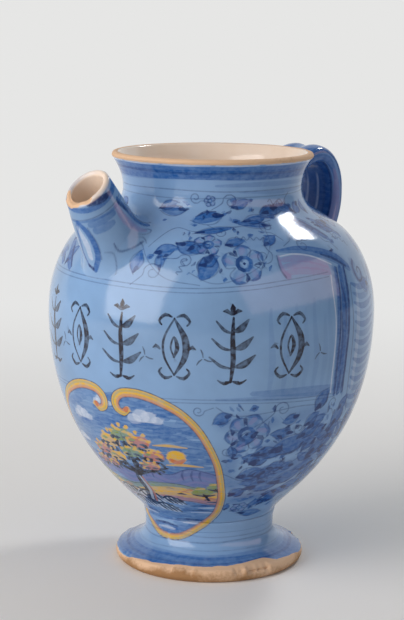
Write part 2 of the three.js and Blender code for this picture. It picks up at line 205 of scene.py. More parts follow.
def leaf(spot, length, width, fill, shade):
    """A blunt dab of cobalt, pooled dark at the stalk and the lower side, loosely outlined."""
    n, w = length, width
    slip = chance.uniform(-0.14, 0.14, 5) * w
    mark(spot, [(n * 0.06, 0, w * 0.22), (n * 0.34, w * 0.1 + slip[0], w * 0.47),
                (n * 0.7, w * 0.06 + slip[1], w * 0.43), (n * 0.94, slip[4], w * 0.2)],
         "wash", min(fill * 1.2, 1), 0.75)
    mark(spot, [(n * 0.16, -w * 0.14, w * 0.16), (n * 0.48, -w * 0.34 + slip[2], w * 0.28),
                (n * 0.86, -w * 0.14, w * 0.14)], "wash", shade, 0.9)
    mark(spot, [(-n * 0.03, 0, w * 0.14), (n * 0.18, -w * 0.1 + slip[3], w * 0.25)], "line",
         min(shade * 1.05, 1))
    mark(spot, [(n * 0.12, -w * 0.42, 0.3), (n * 0.5, -w * 0.62 + slip[2], w * 0.1),
                (n * 0.86, -w * 0.32, 0.3)], "line", shade * 0.75)
    mark(spot, [(-n * 0.12, -w * 0.1, 0.4), (n * 0.3, w * 0.62, 0.55), (n * 0.72, w * 0.54, 0.4),
                (n * 1.1, -w * 0.08, 0.3)], "line", 0.5)


def blossom(spot, radius, petals=5):
    """Rounded petals of thin wash with a darker loose edge, round a ringed dot."""
    for index in range(petals):
        angle = 2 * math.pi * (index + 0.2 + chance.uniform(-0.08, 0.08)) / petals
        out = np.array([math.cos(angle), math.sin(angle)]) * radius * chance.uniform(0.92, 1.06)
        side = np.array([-out[1], out[0]])
        mark(spot, [(*(out * 0.42), radius * 0.2), (*(out * 0.8), radius * 0.3)],
             "wash", 0.42, 0.35)
        mark(spot, [(*(out * 0.6 + side * 0.1), radius * 0.1),
                    (*(out * 0.88), radius * 0.14)], "plum", 0.4)
        mark(spot, [(*(out * 0.96 - side * 0.34), radius * 0.06),
                    (*(out * 1.06), radius * 0.12), (*(out * 0.9 + side * 0.34), radius * 0.05)],
             "wash", 0.75)
        arc = [(*(out * reach + side * lean), 0.42) for reach, lean in
               ((0.42, -0.32), (0.86, -0.44), (1.1, 0), (0.86, 0.44), (0.42, 0.32))]
        mark(spot, arc, "line", 0.5)
        lean = side * 0.42 * (1 if index % 2 else -1)
        mark(spot, [(*(out * 0.52 + lean * 0.8), radius * 0.05),
                    (*(out * 0.72 + lean), radius * 0.1)], "line", 0.8)
    ring = [(math.cos(a) * radius * 0.36, math.sin(a) * radius * 0.36, radius * 0.1)
            for a in np.linspace(0.3, 6.4, 10)]
    mark(spot, ring, "wash", 0.95)
    mark(spot, ring[2:7], "line", 0.6)
    mark(spot, [(0, 0, radius * 0.09)], "line", 1.0)


def tendril(spot, radius):
    """A thin stalk that curls up at its end."""
    path = [(-radius * 1.4, -radius * 0.6, 0.25)]
    for t in np.linspace(0, 1, 14):
        angle = t * 1.3 * 2 * math.pi
        reach = radius * (1 - 0.75 * t)
        path.append((radius - reach * math.cos(angle), reach * math.sin(angle), 0.34))
    mark(spot, path, "line", 0.6)


def squiggle(spot, length, waves):
    path = [(t * length, 1.5 * math.sin(t * waves * 2 * math.pi) * (1 - 0.4 * t), 0.33)
            for t in np.linspace(0, 1, waves * 6)]
    mark(spot, path, "line", 0.6)


def dot(spot, radius):
    mark(spot, [(0, 0, radius), (radius * 0.7, radius * 0.2, radius * 0.8)], "wash", 0.85)
    mark(spot, [(0, -0.1, radius * 0.4), (radius * 0.5, 0, radius * 0.3)], "line", 0.68)


def dabs(spot, count, spread=5.0):
    """A loose cluster of short dark touches, as where buds and small leaves crowd together."""
    for index in range(count):
        angle = chance.uniform(0, 2 * math.pi)
        reach = spread * math.sqrt(chance.uniform(0.05, 1))
        x, y = reach * math.cos(angle), 0.7 * reach * math.sin(angle)
        n, w = chance.uniform(1.6, 3.6), chance.uniform(0.5, 1.15)
        mark(spot, [(x, y, w * 0.5), (x + n * 0.5, y + chance.uniform(-0.6, 0.6), w),
                    (x + n, y, w * 0.4)], ("wash", "line")[index % 2],
             chance.uniform(0.55, 0.95))


def haze(spot, length, width, density):
    """A broad thin wash without a sharp edge, under the leaves."""
    mark(spot, [(-length / 2, 0, width * 0.6), (0, chance.uniform(-2, 2), width),
                (length / 2, 0, width * 0.6)], "wash", density, soft=2.2)


def spray(spot):
    """Three leaves that spread from one dot."""
    azimuth, height, turn, size = spot
    for lean, reach in ((-38, 10), (0, 13), (36, 10)):
        leaf((azimuth, height, turn + lean, size), reach, reach * 0.36, 0.6, 0.85)
    dot(spot, 1.2)


def foliage(azimuths, heights, count, keep, taken=()):
    """Leaves, blossoms and tendrils strewn over a field, each kept clear of the others."""
    placed = [tuple(place) for place in taken]
    for attempt in range(count * 30):
        if len(placed) - len(taken) >= count:
            break
        azimuth = chance.uniform(*azimuths)
        height = chance.uniform(*heights)
        radius = radius_at_height(height)
        spot = (math.radians(azimuth) * radius, run_at_height(height))
        if all(math.dist(spot, other) > keep for other in placed):
            placed.append(spot)
            turn = chance.uniform(0, 360)
            kind = len(placed) % 7
            where = (azimuth, height, turn, chance.choice([-1, 1]) * chance.uniform(0.8, 1.1))
            if kind in (0, 3):
                spray(where)
            elif kind == 1:
                blossom(where, 7.5)
            elif kind == 2:
                leaf(where, 13, 6, 0.8, 1.0)
            elif kind == 4:
                tendril(where, 3.4)
            elif kind == 5:
                squiggle(where, 10, 3)
                dot((azimuth, height - 3, turn, 1), 0.9)
            else:
                leaf(where, 11, 5.5, 0.75, 1.0)
                dot((azimuth + 3, height + 4, turn, 1), 1.0)


# Neck bands, brushed while the jar turned on the wheel
def around(height, half, ink, density, wobble):
    phases = chance.uniform(0, 6, 3)
    rows = []
    for azimuth in np.arange(-SEAM_AZIMUTH, SEAM_AZIMUTH + 0.1, 6.0):
        sway = sum(share * math.sin(waves * math.radians(azimuth) + phase)
                   for share, waves, phase in zip((1, 0.6, 0.4), (1, 2, 5), phases))
        rows.append((azimuth, height + wobble * sway * 0.5, half))
    ribbon(rows, half, ink, density)


around(204.8, 2.0, "wash", 0.75, 0.3)
ribbon([(azimuth, 207.1 + 0.15 * math.sin(azimuth * 0.21), 0.4)
        for azimuth in np.arange(-178, 179, 4.0)], 1, "white", 0.75)
around(202.2, 2.6, "wash", 0.8, 0.5)
around(200.6, 1.6, "wash", 0.4, 1.2)
around(203.6, 0.7, "line", 0.35, 0.8)
around(195.0, 0.34, "line", 0.5, 0.9)
around(191.6, 0.3, "line", 0.42, 0.8)
ribbon([(40, 197.2, 0.6), (70, 197.6, 1.3), (120, 197.0, 0.8)], 1, "wash", 0.35)
ribbon([(55, 194.0, 0.4), (85, 193.4, 0.9), (125, 194.2, 0.5)], 1, "wash", 0.3)

# Shoulder foliage, drawn with fewer and coarser strokes than the real painting has
for *where, radius in (
    (36.5, 190, 20, 1, 2.6), (36.5, 172, 0, 1, 6.2), (50, 164, 10, 1, 9.5), (-52, 176, 0, 1, 7.0),
    (116, 178, 30, 1, 6.5),
):
    blossom(where, radius)
for *where, length, width, fill, shade in (
    (22, 185.5, 185, 1, 12, 5, 0.6, 0.8), (43, 183.5, 195, 1, 14, 7, 0.7, 0.95),
    (67, 179, 170, 1, 15, 4.4, 0.8, 1.0), (31, 176.5, 14, 1, 17, 3.6, 0.85, 1.0),
    (55, 181, 12, 1, 12, 4.6, 0.8, 1.0), (68, 184, 10, 1, 14, 4.5, 0.8, 1.0),
    (91, 176, 150, 1, 9, 6, 0.85, 0.7), (84, 181, -35, 1, 12, 3.6, 0.6, 0.9),
    (24, 172, 160, -1, 13, 6, 0.75, 0.95), (16, 168, 20, 1, 10, 5.5, 0.7, 0.8),
    (9, 159, 85, 1, 11, 5, 0.7, 0.7), (38, 167, 250, 1, 12, 8, 0.8, 0.8),
    (44, 172, 20, 1, 9, 5, 0.8, 1.0), (-31, 157, 60, 1, 12, 4.6, 0.85, 0.9),
    (-22, 168, 130, 1, 12, 5, 0.7, 0.8), (104, 182, 80, 1, 8, 3.6, 0.9, 1.0),
    (108, 178, 20, -1, 10, 4, 0.9, 1.0), (-44, 160, 15, 1, 11, 5, 0.7, 0.9),
    (19, 161, 100, 1, 8, 3.6, 0.6, 0.7), (79, 186, 200, 1, 13, 5.4, 0.8, 1.0),
    (92, 183, 150, 1, 11, 5, 0.8, 1.0), (101, 187, 40, -1, 9, 4, 0.8, 1.0),
    (97, 177, -30, 1, 12, 5, 0.8, 1.0), (60, 171.5, 40, 1, 9, 4.6, 0.8, 1.0),
    (29, 169.5, 200, -1, 10, 5, 0.8, 0.95), (6, 186, 20, 1, 9, 4, 0.6, 0.8),
    (-24, 184, 150, 1, 10, 4.4, 0.7, 0.9), (-36, 168, 75, 1, 13, 5, 0.9, 1.0),
    (50, 187, 20, 1, 9, 4, 0.7, 0.9), (34, 163.5, 30, 1, 9, 4.4, 0.7, 0.9),
):
    leaf(where, length, width, fill, shade)
for *where, size in (
    (50.5, 190, 0, 1, 1.3), (50, 181, 0, 1, 1.9), (72, 182, 0, 1, 1.4), (90.5, 186, 0, 1, 1.5),
    (14, 166, 0, 1, 1.5), (29, 179.5, 0, 1, 1.2), (-14, 175, 0, 1, 1.2), (55, 175.5, 0, 1, 1.3),
    (12, 181, 0, 1, 1.0), (96, 170, 0, 1, 1.6), (62, 190, 0, 1, 0.9), (-8, 160, 0, 1, 1.1),
):
    dot(where, size)
for *where, length, waves in (
    (-8, 168, 8, 1, 13, 3), (48, 174.5, -4, 1, 16, 5), (26, 159, 70, 1, 9, 3),
    (74, 189, -10, 1, 14, 3), (100, 174, -50, 1, 14, 4), (-40, 170, 30, 1, 10, 3),
):
    squiggle(where, length, waves)
for *where, radius in (
    (31, 190, 150, 1, 3.0), (44, 189, 10, 1, 4.0), (13, 158, 20, 1, 5.0), (25, 166, -20, 1, 4.0),
    (60, 170, 240, 1, 5.0), (80, 172, 40, -1, 4.0), (-16, 163, 60, 1, 4.0),
    (66, 176, 100, 1, 4.4), (8, 174, 100, 1, 3.4), (88, 189, 200, 1, 3.6), (73, 173, 10, 1, 4.6),
    (94, 170, 100, 1, 4.0), (-30, 178, 40, 1, 4.4), (40, 178, -60, 1, 3.4),
):
    tendril(where, radius)
ribbon([(12, 170), (20, 178, 0.35), (30, 177), (44, 178.5, 0.5), (58, 179.5), (70, 181)], 0.3,
       "line", 0.6)
ribbon([(30, 160), (38, 155.6, 0.3), (46, 157), (56, 163), (62, 171, 0.3), (64, 178)], 0.3,
       "line", 0.45)
ribbon([(8, 172), (14, 164, 0.3), (22, 157), (34, 154.6)], 0.3, "line", 0.45)
for places in ([(-37, 168.5, 1.2), (-32, 164.5, 2.4), (-27.5, 159, 2.6), (-25, 155.8, 1.4)],
               [(-40, 162, 1.0), (-37, 159.5, 2.0), (-34, 156.6, 1.2)],
               [(84, 181, 0.8), (88, 179, 2.2), (92, 175, 2.6), (95, 171.5, 1.4)],
               [(97, 180, 0.8), (101, 178, 1.8), (105, 174, 2.0), (107, 171, 1.0)]):
    ribbon(places, 1, "wash", 0.95, 0.85)
    ribbon([(azimuth + 1.2, height + 0.6, half * 0.3) for azimuth, height, half in places[1:]], 1,
           "line", 0.8)
foliage((-172, -60), (158, 187), 26, 9.5)
foliage((120, 172), (158, 187), 12, 9.5)

# Band round the belly, between thin lines and the folded ends of a painted scroll
for height, half in ((154.6, 0.32), (152.6, 0.26)):
    ribbon([(-86, height + 0.8), (-40, height), (0, height - 0.6), (30, height - 1.4),
            (50, height - 0.2), (66, height + 1.6), (84, height + 3.0)], half, "line", 0.5)
for height in (99.3, 97.6):
    ribbon([(-86, height), (-30, height), (8, height + 1), (44, height + 1.4), (70, height),
            (88, height - 1)], 0.3, "line", 0.45)
ribbon([(52, 103.5, 1.2), (64, 103.0, 2.0), (76, 102.0, 2.6), (86, 101.6, 1.6)], 1, "wash", 0.4)
ribbon([(40, 100.8, 0.6), (60, 100.6, 1.4), (86, 99.8, 1.2)], 1, "wash", 0.3)
BAR_STROKES = (
    (87.2, 87.4, 1.5, "wash", 0.85), (90, 89.6, 1.9, "wash", 0.95), (92.4, 91.8, 1.4, "wash", 0.8),
    (88.0, 87.6, 0.7, "line", 0.7), (92.8, 92.4, 0.8, "line", 0.75),
)


def folded(side, places, half, ink, density, core=1.0):
    """A ribbon of the scroll's end, on the spout's right side or mirrored to its left."""
    ribbon([(side * azimuth, *rest) for azimuth, *rest in places], half, ink, density, core)


for side in (1, -1):
    folded(side, [(85.3, 156), (84.2, 132), (84.8, 99)], 0.45, "white", 0.9)
    for left, right, half, ink, tone in BAR_STROKES:
        folded(side, [(left + 1.8, 159, half * 0.6), (left - 0.3, 146, half),
                      (left - 1.4, 130, half), (right - 1.6, 114, half),
                      (right - 0.4, 98, half * 0.8)], 1, ink, tone)
    for lean, top, low in ((89.8, 152, 130), (87.6, 138, 112), (90.6, 120, 99), (88.4, 110, 98)):
        folded(side, [(lean, top, 0.3), (lean + 0.3, (top + low) / 2, 0.8), (lean, low, 0.4)],
                      1, "line", 0.55)
    for azimuth in (58, 63, 67.5, 71, 75, 79, 82):
        top = chance.uniform(138, 151)
        folded(side, [(azimuth, top, 0.7), (azimuth + 0.5, 120, 1.7), (azimuth, 104, 1.0)],
                      1, "wash", chance.uniform(0.08, 0.18))
    for rise, tone in ((0, 0.85), (-1.7, 0.6)):
        folded(side, [(64, 169 + rise * 0.3, 0.4), (74, 169.4 + rise, 1.2),
                      (84, 167.2 + rise, 1.9), (92, 163.5 + rise, 2.1), (98, 158.5 + rise, 1.2)],
                      1, "wash", tone, 0.85)
    folded(side, [(84, 165.6, 0.4), (90, 163, 0.9), (96, 158.6, 0.5)], 1, "line", 0.7)
    for rise, half in ((0, 1.9), (-2.9, 2.0), (-5.6, 1.8)):
        folded(side, [(65.4, 164.8 + rise, half * 0.7), (72, 165.2 + rise, half),
                      (79, 163.6 + rise * 0.9, half), (85, 160.6 + rise * 0.62, half * 0.6)],
                      1, "plum", 0.62)
    folded(side, [(64, 166.4), (71, 167.0, 0.5), (79, 165.3, 0.5), (87.6, 160.6)],
                  0.4, "white", 0.75)
    folded(side, [(64, 166.6, 0.5), (64.2, 161, 0.9), (66, 157.4, 1.5)], 0.5, "plum", 0.9)
    folded(side, [(63.4, 166.8), (63.4, 161, 0.5), (65, 157.2, 0.6)], 0.4, "line", 0.55)
    whorl = [(5.8 * (1 - t) * math.cos(1.9 + t * 9), 6.6 * (1 - t) * math.sin(1.9 + t * 9),
              0.7 - 0.25 * t) for t in np.linspace(0, 0.85, 18)]
    mark((side * 104.5, 154.5, 0, side), [(x, y, 1.6) for x, y, w in whorl[:10]], "wash", 0.7)
    mark((side * 104.5, 154.5, 0, side), whorl, "line", 0.85)
    folded(side, [(95.2, 150), (94.4, 130, 0.5), (95.6, 98), (100, 86)], 0.4, "line", 0.65)
    folded(side, [(113, 158), (113.5, 130, 0.5), (113.5, 102), (105, 84)], 0.45, "line", 0.6)
    folded(side, [(99, 148, 0.8), (98, 130, 1.8), (99, 98, 1.4)], 1, "white", 0.3)
    for index, height in enumerate(np.arange(89, 150, 4.6)):
        folded(side, [(95.6, height + 1.8, 0.6), (101, height - 0.8, 1.5),
                      (107, height - 0.6, 1.5), (113, height + 1.6, 0.7)],
                      1, "wash", 0.7 if index % 2 else 0.5)


# Plant ornament on the band, in thin and thick strokes of manganese
def upright_sprig(spot):
    mark(spot, [(-0.6, -16, 0.6), (0.3, -6, 1.2), (0, 5, 1.1), (0.4, 14, 0.5)], "dark", 0.95)
    mark(spot, [(0, 15.5, 0.6), (0.2, 18.2, 1.3), (0, 20, 0.3)], "dark", 0.95)
    for side in (-1, 1):
        for level, reach in ((-9.5, 10.5), (-1, 9.4), (7, 7.4)):
            lean = level + (0.6 if side > 0 else 0)
            weight = 1.7 if side > 0 else 0.8
            mark(spot, [(side * 0.5, lean, 0.4), (side * reach * 0.5, lean + 1.2, weight),
                        (side * reach, lean + 5.4, 0.4)], "dark", 0.85, 0.85)
        mark(spot, [(side * 0.6, -15.8, 0.5), (side * 3.6, -16.8, 0.7), (side * 6.6, -15.0, 0.3)],
             "dark", 0.85)
        mark(spot, [(side * 1.4, -16.0, 0.6), (side * 2.6, -16.4, 1.0)], "dark", 1.0)
        mark(spot, [(side * 0.4, 15.2, 0.4), (side * 2.6, 17, 1.0), (side * 4.2, 16.8, 0.3)],
             "dark", 0.85)


def almond(spot):
    mark(spot, [(0, -14, 0.4), (5.2, -5, 1.5), (5.4, 4, 1.7), (0, 14, 0.4)], "dark", 0.92, 0.85)
    mark(spot, [(0, -14, 0.4), (-4.8, -5, 0.6), (-5, 4, 0.6), (0, 14, 0.4)], "dark", 0.85)
    mark(spot, [(0, -5, 0.5), (1.6, 0, 1.1), (0, 5, 0.5), (-1.6, 0, 0.5), (0, -5, 0.4)],
         "dark", 0.85)
    for side in (-1, 1):
        for end in (-1, 1):
            mark(spot, [(side * 1.2, end * 14.6, 0.4), (side * 4.6, end * 15.6, 0.9),
                        (side * 7.6, end * 12.6, 0.6), (side * 6.2, end * 10.6, 0.4)],
                 "dark", 0.85)
        mark(spot, [(side * 7.0, -1.2, 0.5), (side * 9.0, 0.4, 0.9), (side * 10.6, -0.8, 0.3)],
             "dark", 0.8)


for azimuth in (-70, -31, 7, 45):
    upright_sprig((azimuth, BAND_MIDDLE, 0, chance.uniform(0.98, 1.06)))
for azimuth in (-50, -12, 26, 65):
    almond((azimuth, BAND_MIDDLE, chance.uniform(-2, 2), chance.uniform(0.96, 1.04)))
for azimuth in (-60, -21, 16, 35.5, 77):
    spot = (azimuth, 121, 0, 0.8)
    for angle in (90, 212, 328):
        a = math.radians(angle)
        mark(spot, [(0.8 * math.cos(a), 0.8 * math.sin(a), 0.4),
                    (3.0 * math.cos(a + 0.1), 3.0 * math.sin(a + 0.1), 0.6),
                    (5.4 * math.cos(a + 0.25), 5.4 * math.sin(a + 0.25), 0.3)], "dark", 0.8)

# Field below the band
for *where, radius in (
    (51.5, 82.5, 0, 1, 10.0), (-62, 82, 20, 1, 9.0), (58, 37, 0, 1, 4.4), (122, 84, 0, 1, 9.0),
):
    blossom(where, radius, 6)
for *where, length, width in (
    (79, 92, 60, 1, 11, 6.5), (63, 72, 14, 1, 22, 9), (74, 78, 30, 1, 14, 6),
    (55, 66, 20, 1, 9, 6), (64, 62, 10, 1, 9, 5.5), (51, 58, 20, 1, 12, 7),
    (56, 50, 12, 1, 22, 7), (49, 46, 40, 1, 8, 6), (71, 90, 200, 1, 8, 5), (47, 70, 100, 1, 7, 4),
    (60, 33, -10, 1, 14, 5), (70, 52, 20, 1, 18, 7), (84, 66, 40, 1, 16, 8),
    (92, 80, 70, 1, 13, 7), (80, 48, 0, 1, 13, 6), (96, 60, 60, 1, 14, 6), (72, 40, 30, 1, 10, 5),
    (45, 93, 30, -1, 9, 5), (95, 44, 20, 1, 12, 5), (48, 36, 80, 1, 6, 3),
):
    leaf(where, length, width, 0.75, 1.0)
for *where, size in (
    (53, 96, 0, 1, 1.9), (67, 83, 0, 1, 1.8), (84, 82, 0, 1, 1.5), (42, 89, 0, 1, 2.2),
    (60, 78, 0, 1, 1.2), (69, 68, 0, 1, 1.3), (47, 62, 0, 1, 1.3), (62, 44, 0, 1, 1.2),
    (88, 54, 0, 1, 1.5),
):
    dot(where, size)
for *where, radius in (
    (36, 95, 180, 1, 3.0), (61, 93, 20, 1, 4.5), (46, 76, 240, 1, 3.5), (76, 84, 200, 1, 4.0),
    (88, 90, 100, 1, 3.6), (66, 56, 80, 1, 3.4), (85, 38, 10, 1, 3.4),
):
    tendril(where, radius)
ribbon([(40, 97), (46, 92.5, 0.4), (56, 93), (70, 95, 0.4), (82, 94)], 0.3, "line", 0.5)
ribbon([(44, 60), (56, 55, 0.5), (70, 60), (86, 72, 0.4), (94, 84)], 0.35, "line", 0.6)
for *spot, length, width, density in (
    (72, 76, 10, 1, 30, 6, 0.4), (62, 58, 20, 1, 34, 6, 0.45), (80, 60, 20, 1, 30, 7, 0.5),
    (52, 88, 0, 1, 26, 5, 0.3), (66, 44, 10, 1, 24, 4, 0.5), (90, 74, 60, 1, 26, 5, 0.5),
    (47, 66, 80, 1, 20, 4, 0.35), (94, 50, 30, 1, 26, 6, 0.5), (76, 90, 0, 1, 22, 4, 0.3),
    (-56, 70, 20, 1, 30, 6, 0.3), (-74, 56, 10, 1, 30, 6, 0.34), (-84, 82, 40, 1, 26, 5, 0.3),
    (20, 168, 0, 1, 26, 4, 0.2), (56, 172, 0, 1, 30, 4, 0.2), (-40, 166, 10, 1, 24, 4, 0.2),
):
    haze(spot, length, width, density)
for azimuth, height, count in (
    (48, 94, 5), (60, 90, 4), (70, 84, 6), (57, 73, 5), (68, 67, 6), (78, 72, 7), (52, 64, 6),
    (60, 57, 7), (70, 59, 6), (50, 50, 5), (62, 49, 6), (74, 46, 6), (84, 58, 7), (90, 66, 6),
    (54, 41, 5), (66, 38, 5), (80, 40, 5), (88, 90, 5), (94, 76, 6), (46, 80, 4), (64, 80, 4),
    (72, 52, 6), (56, 34, 4), (45, 70, 4), (-50, 88, 5), (-58, 60, 5), (-70, 74, 5),
):
    dabs((azimuth, height, chance.uniform(0, 360), 1), count)
for azimuth, height, count in (
    (24, 187, 3), (34, 184, 4), (47, 186, 4), (60, 186, 3), (76, 186, 4), (27, 175, 4),
    (50, 178, 4), (63, 176, 3), (80, 178, 5), (96, 179, 5), (20, 166, 4), (30, 161, 3),
    (42, 160, 3), (58, 162, 3), (94, 166, 4), (-28, 172, 5), (-44, 166, 4), (-18, 180, 3),
    (102, 172, 5),
):
    dabs((azimuth, height, chance.uniform(0, 360), 0.85), count, 4.0)
foliage((-98, -38), (36, 95), 24, 10, [(math.radians(-62) * 73, float(run_at_height(82)))])
foliage((104, 172), (34, 95), 34, 10, [(math.radians(122) * 73, float(run_at_height(84)))])
foliage((-172, -104), (34, 95), 34, 10)
foliage((117, 172), (98, 156), 24, 11)
foliage((-172, -117), (98, 156), 24, 11)
for index in range(34):
    where = (chance.uniform(54, 103), chance.uniform(36, 90), chance.uniform(-20, 80),
             chance.choice([-1, 1]))
    leaf(where, chance.uniform(7, 13), chance.uniform(3.6, 6), 0.8, 1.0)
for index in range(60):
    azimuth = (chance.uniform(106, 254) + 180) % 360 - 180
    where = (azimuth, chance.uniform(38, 186), chance.uniform(0, 360), 1)
    if abs(azimuth) <= LAST_LEAF_AZIMUTH:
        leaf(where, chance.uniform(9, 13), chance.uniform(4, 6), 0.8, 1.0)

# Medallion under the spout: a yellow scrolled frame round a shore with a tree and rocks
MEDALLION_RUN = 39.5
MEDALLION_REACH = 49.2
FRAME_SIDE = [(17.6, 49.6), (28.0, 46.6), (38.5, 40.0), (45.4, 28.5), (47.2, 11.0), (42.2, -8.0),
              (36.0, -21.0), (28.0, -32.5), (18.0, -41.5), (8.0, -47.6), (0.0, -49.2)]
medallion_spot = (0, float(np.interp(MEDALLION_RUN, outline_run, outline[:, 1])), 0, 1)


def frame_width(rise):
    """Half the width of the medallion at a height over its middle, in mm."""
    side = smooth([(*place, 1.0) for place in [(0.0, 49.8)] + FRAME_SIDE])[::-1]
    return np.interp(rise, side[:, 1], side[:, 0])


def in_medallion(unrolled):
    """How far inside the medallion's frame each unrolled place lies, from 0 outside to 1."""
    x = unrolled[:, 0] * radius_at_run(unrolled[:, 1]) / UNROLL_RADIUS
    rise = unrolled[:, 1] - MEDALLION_RUN
    return np.clip(frame_width(rise) - np.abs(x), 0, 1) * (np.abs(rise) < MEDALLION_REACH)


def picture(points, ink, density=1.0, core=1.0):
    mark(medallion_spot, points, ink, density, core, "inside")


# The field inside the frame is clear of the foliage that runs on under it
strokes.append({"clear": True})

# Sky and water, in short overlapping dabs, with clouds and a low sun
for level in np.arange(-48, 49, 2.7):
    reach = float(frame_width(level))
    x = -reach + chance.uniform(-6, 0)
    while x < reach:
        n = chance.uniform(9, 20)
        sink = chance.uniform(-1.2, 1.2)
        tone = chance.uniform(0.34, 0.72) * float(np.interp(x, (-38, -8), (0.5, 1)))
        picture([(x, level + sink, 1.0),
                 (x + n * 0.5, level + sink + chance.uniform(-0.8, 0.8), 2.1),
                 (x + n, level + sink, 1.0)], "wash", tone, 0.75)
        x += n * 0.72
for x, y, n in ((-24, 31, 16), (19, 36, 18), (-33, 15, 12), (-5, 42, 12)):
    for lean, rise, reach in ((-0.34, 0, 0.17), (-0.12, 0.11, 0.22), (0.12, 0.09, 0.19),
                              (0.34, 0.01, 0.13)):
        picture([(x + n * (lean - 0.05), y + n * rise, n * reach * 0.9),
                 (x + n * (lean + 0.05), y + n * rise, n * reach * 0.9)], "white", 0.5, 0.9)
    picture([(x - n * 0.5, y - n * 0.1, 0.5), (x, y - n * 0.13, 1.0),
             (x + n * 0.48, y - n * 0.08, 0.4)], "wash", 0.6)
picture([(28.5, 15, 4.4), (29.2, 15, 4.4)], "yellow", 1.0)
picture([(25.6, 13.2, 1.0), (28.6, 11.6, 1.5), (32, 13.4, 0.9)], "orange", 0.85)
for x, y, n in ((19, 21.5, 17), (22, 9.4, 18), (12, 17.6, 10)):
    picture([(x, y, 0.3), (x + n * 0.5, y + 0.7, 0.9), (x + n, y, 0.3)], "yellow", 0.75)

# Far hills, a narrow meadow and the shore
far = [(-47, 2), (-36, 9), (-26, 4), (-15, 10), (-4, 3), (9, 7), (20, 2), (33, 7), (47, 2)]
near = [(-47, -5), (-34, -2), (-20, -7), (-6, -10), (8, -6), (22, -5), (34, -8), (47, -5)]
for drop, half in ((2.4, 3.0), (6.8, 3.0), (10.6, 2.6)):
    picture([(x, y - drop, half) for x, y in far], "wash", 0.62)
    picture([(x, y - drop, half) for x, y in far], "plum", 0.35)
picture([(x, y + 0.4, 0.45) for x, y in far], "line", 0.75)
for x, y in far[1::2]:
    for lean in (-4, 0.5, 4.5):
        picture([(x + lean, y - 1, 0.4), (x + lean - 1.8, y - 4.6, 0.6),
                 (x + lean - 2.2, y - 8, 0.3)], "line", 0.5)
for drop, ink, tone in ((1.8, "green", 0.6), (5.0, "yellow", 0.85), (8.6, "yellow", 0.8),
                        (11.8, "orange", 0.55)):
    picture([(x, y - drop + chance.uniform(-0.8, 0.8), 2.3) for x, y in near], ink, tone, 0.85)
picture([(x, y + 0.6, 0.4) for x, y in near], "dark", 0.7)
picture([(x, y - 14.2, 0.5) for x, y in near], "dark", 0.6)
for index in range(56):
    x = chance.uniform(-44, 40)
    y = float(np.interp(x, *zip(*near))) - chance.uniform(1, 13)
    n = chance.uniform(2.0, 6.0)
    picture([(x, y, 0.3), (x + n * 0.5, y + chance.uniform(-0.6, 0.9), chance.uniform(0.5, 1.0)),
             (x + n, y + chance.uniform(-0.4, 0.4), 0.25)],
            ("green", "orange", "dark", "yellow", "dark", "orange")[index % 6],
            chance.uniform(0.5, 0.9))
for x, y, n in ((-30, -26, 14), (14, -29, 18), (20, -24, 16), (-20, -36, 16), (6, -38.5, 18),
                (-10, -43, 16)):
    picture([(x, y, 0.3), (x + n * 0.5, y + 0.8, 0.7), (x + n, y, 0.3)], "line", 0.75)
    picture([(x + 3, y - 1.8, 0.3), (x + n * 0.6, y - 1.4, 0.8), (x + n - 2, y - 1.8, 0.3)],
            "white", 0.5)

# Grey rocks under the tree, the tree in autumn leaf, and bushes
for x, y, n in ((-13, -17, 11), (1, -19, 13), (13, -20, 9), (-7, -26, 12), (6, -28, 10)):
    picture([(x - n * 0.34, y, n * 0.34), (x + n * 0.34, y - 1, n * 0.3)], "white", 0.6, 0.85)
    picture([(x - n * 0.6, y + n * 0.1, 0.4), (x - n * 0.1, y + n * 0.4, 0.8),
             (x + n * 0.6, y + n * 0.05, 0.5)], "dark", 0.9)
    for lean in (-0.42, -0.16, 0.1, 0.36):
        picture([(x + n * lean, y + n * 0.28, 0.5), (x + n * (lean + 0.08), y, 1.0),
                 (x + n * (lean + 0.26), y - n * 0.34, 0.4)], "dark", 0.85)
picture([(-1, -24, 3.2), (2.6, -14, 2.6), (2, -3, 2.0), (5, 8, 1.3)], "dark", 0.95, 0.85)
picture([(0.2, -22, 0.8), (3.4, -12, 0.9), (2.6, -2, 0.5)], "white", 0.7)
picture([(2.0, -23, 0.7), (4.9, -13, 0.6), (3.9, -2, 0.4)], "orange", 0.8)
for x, y in ((-13, 15), (16, 18), (-18, 5), (22, 7), (2, 26)):
    picture([(3.4, 0, 1.3), ((3.4 + x) / 2 + 1, y / 2 + 1, 1.0), (x, y, 0.4)], "dark", 0.9)
crown = [(-20, 5, 4.4), (-15, 13, 5.4), (-7, 20, 5.8), (2, 25, 6.0), (11, 22, 5.6), (17, 14, 5.0),
         (-6, 10, 4.8), (5, 15, 5.4), (13, 7, 4.4), (-12, 4, 3.6)]
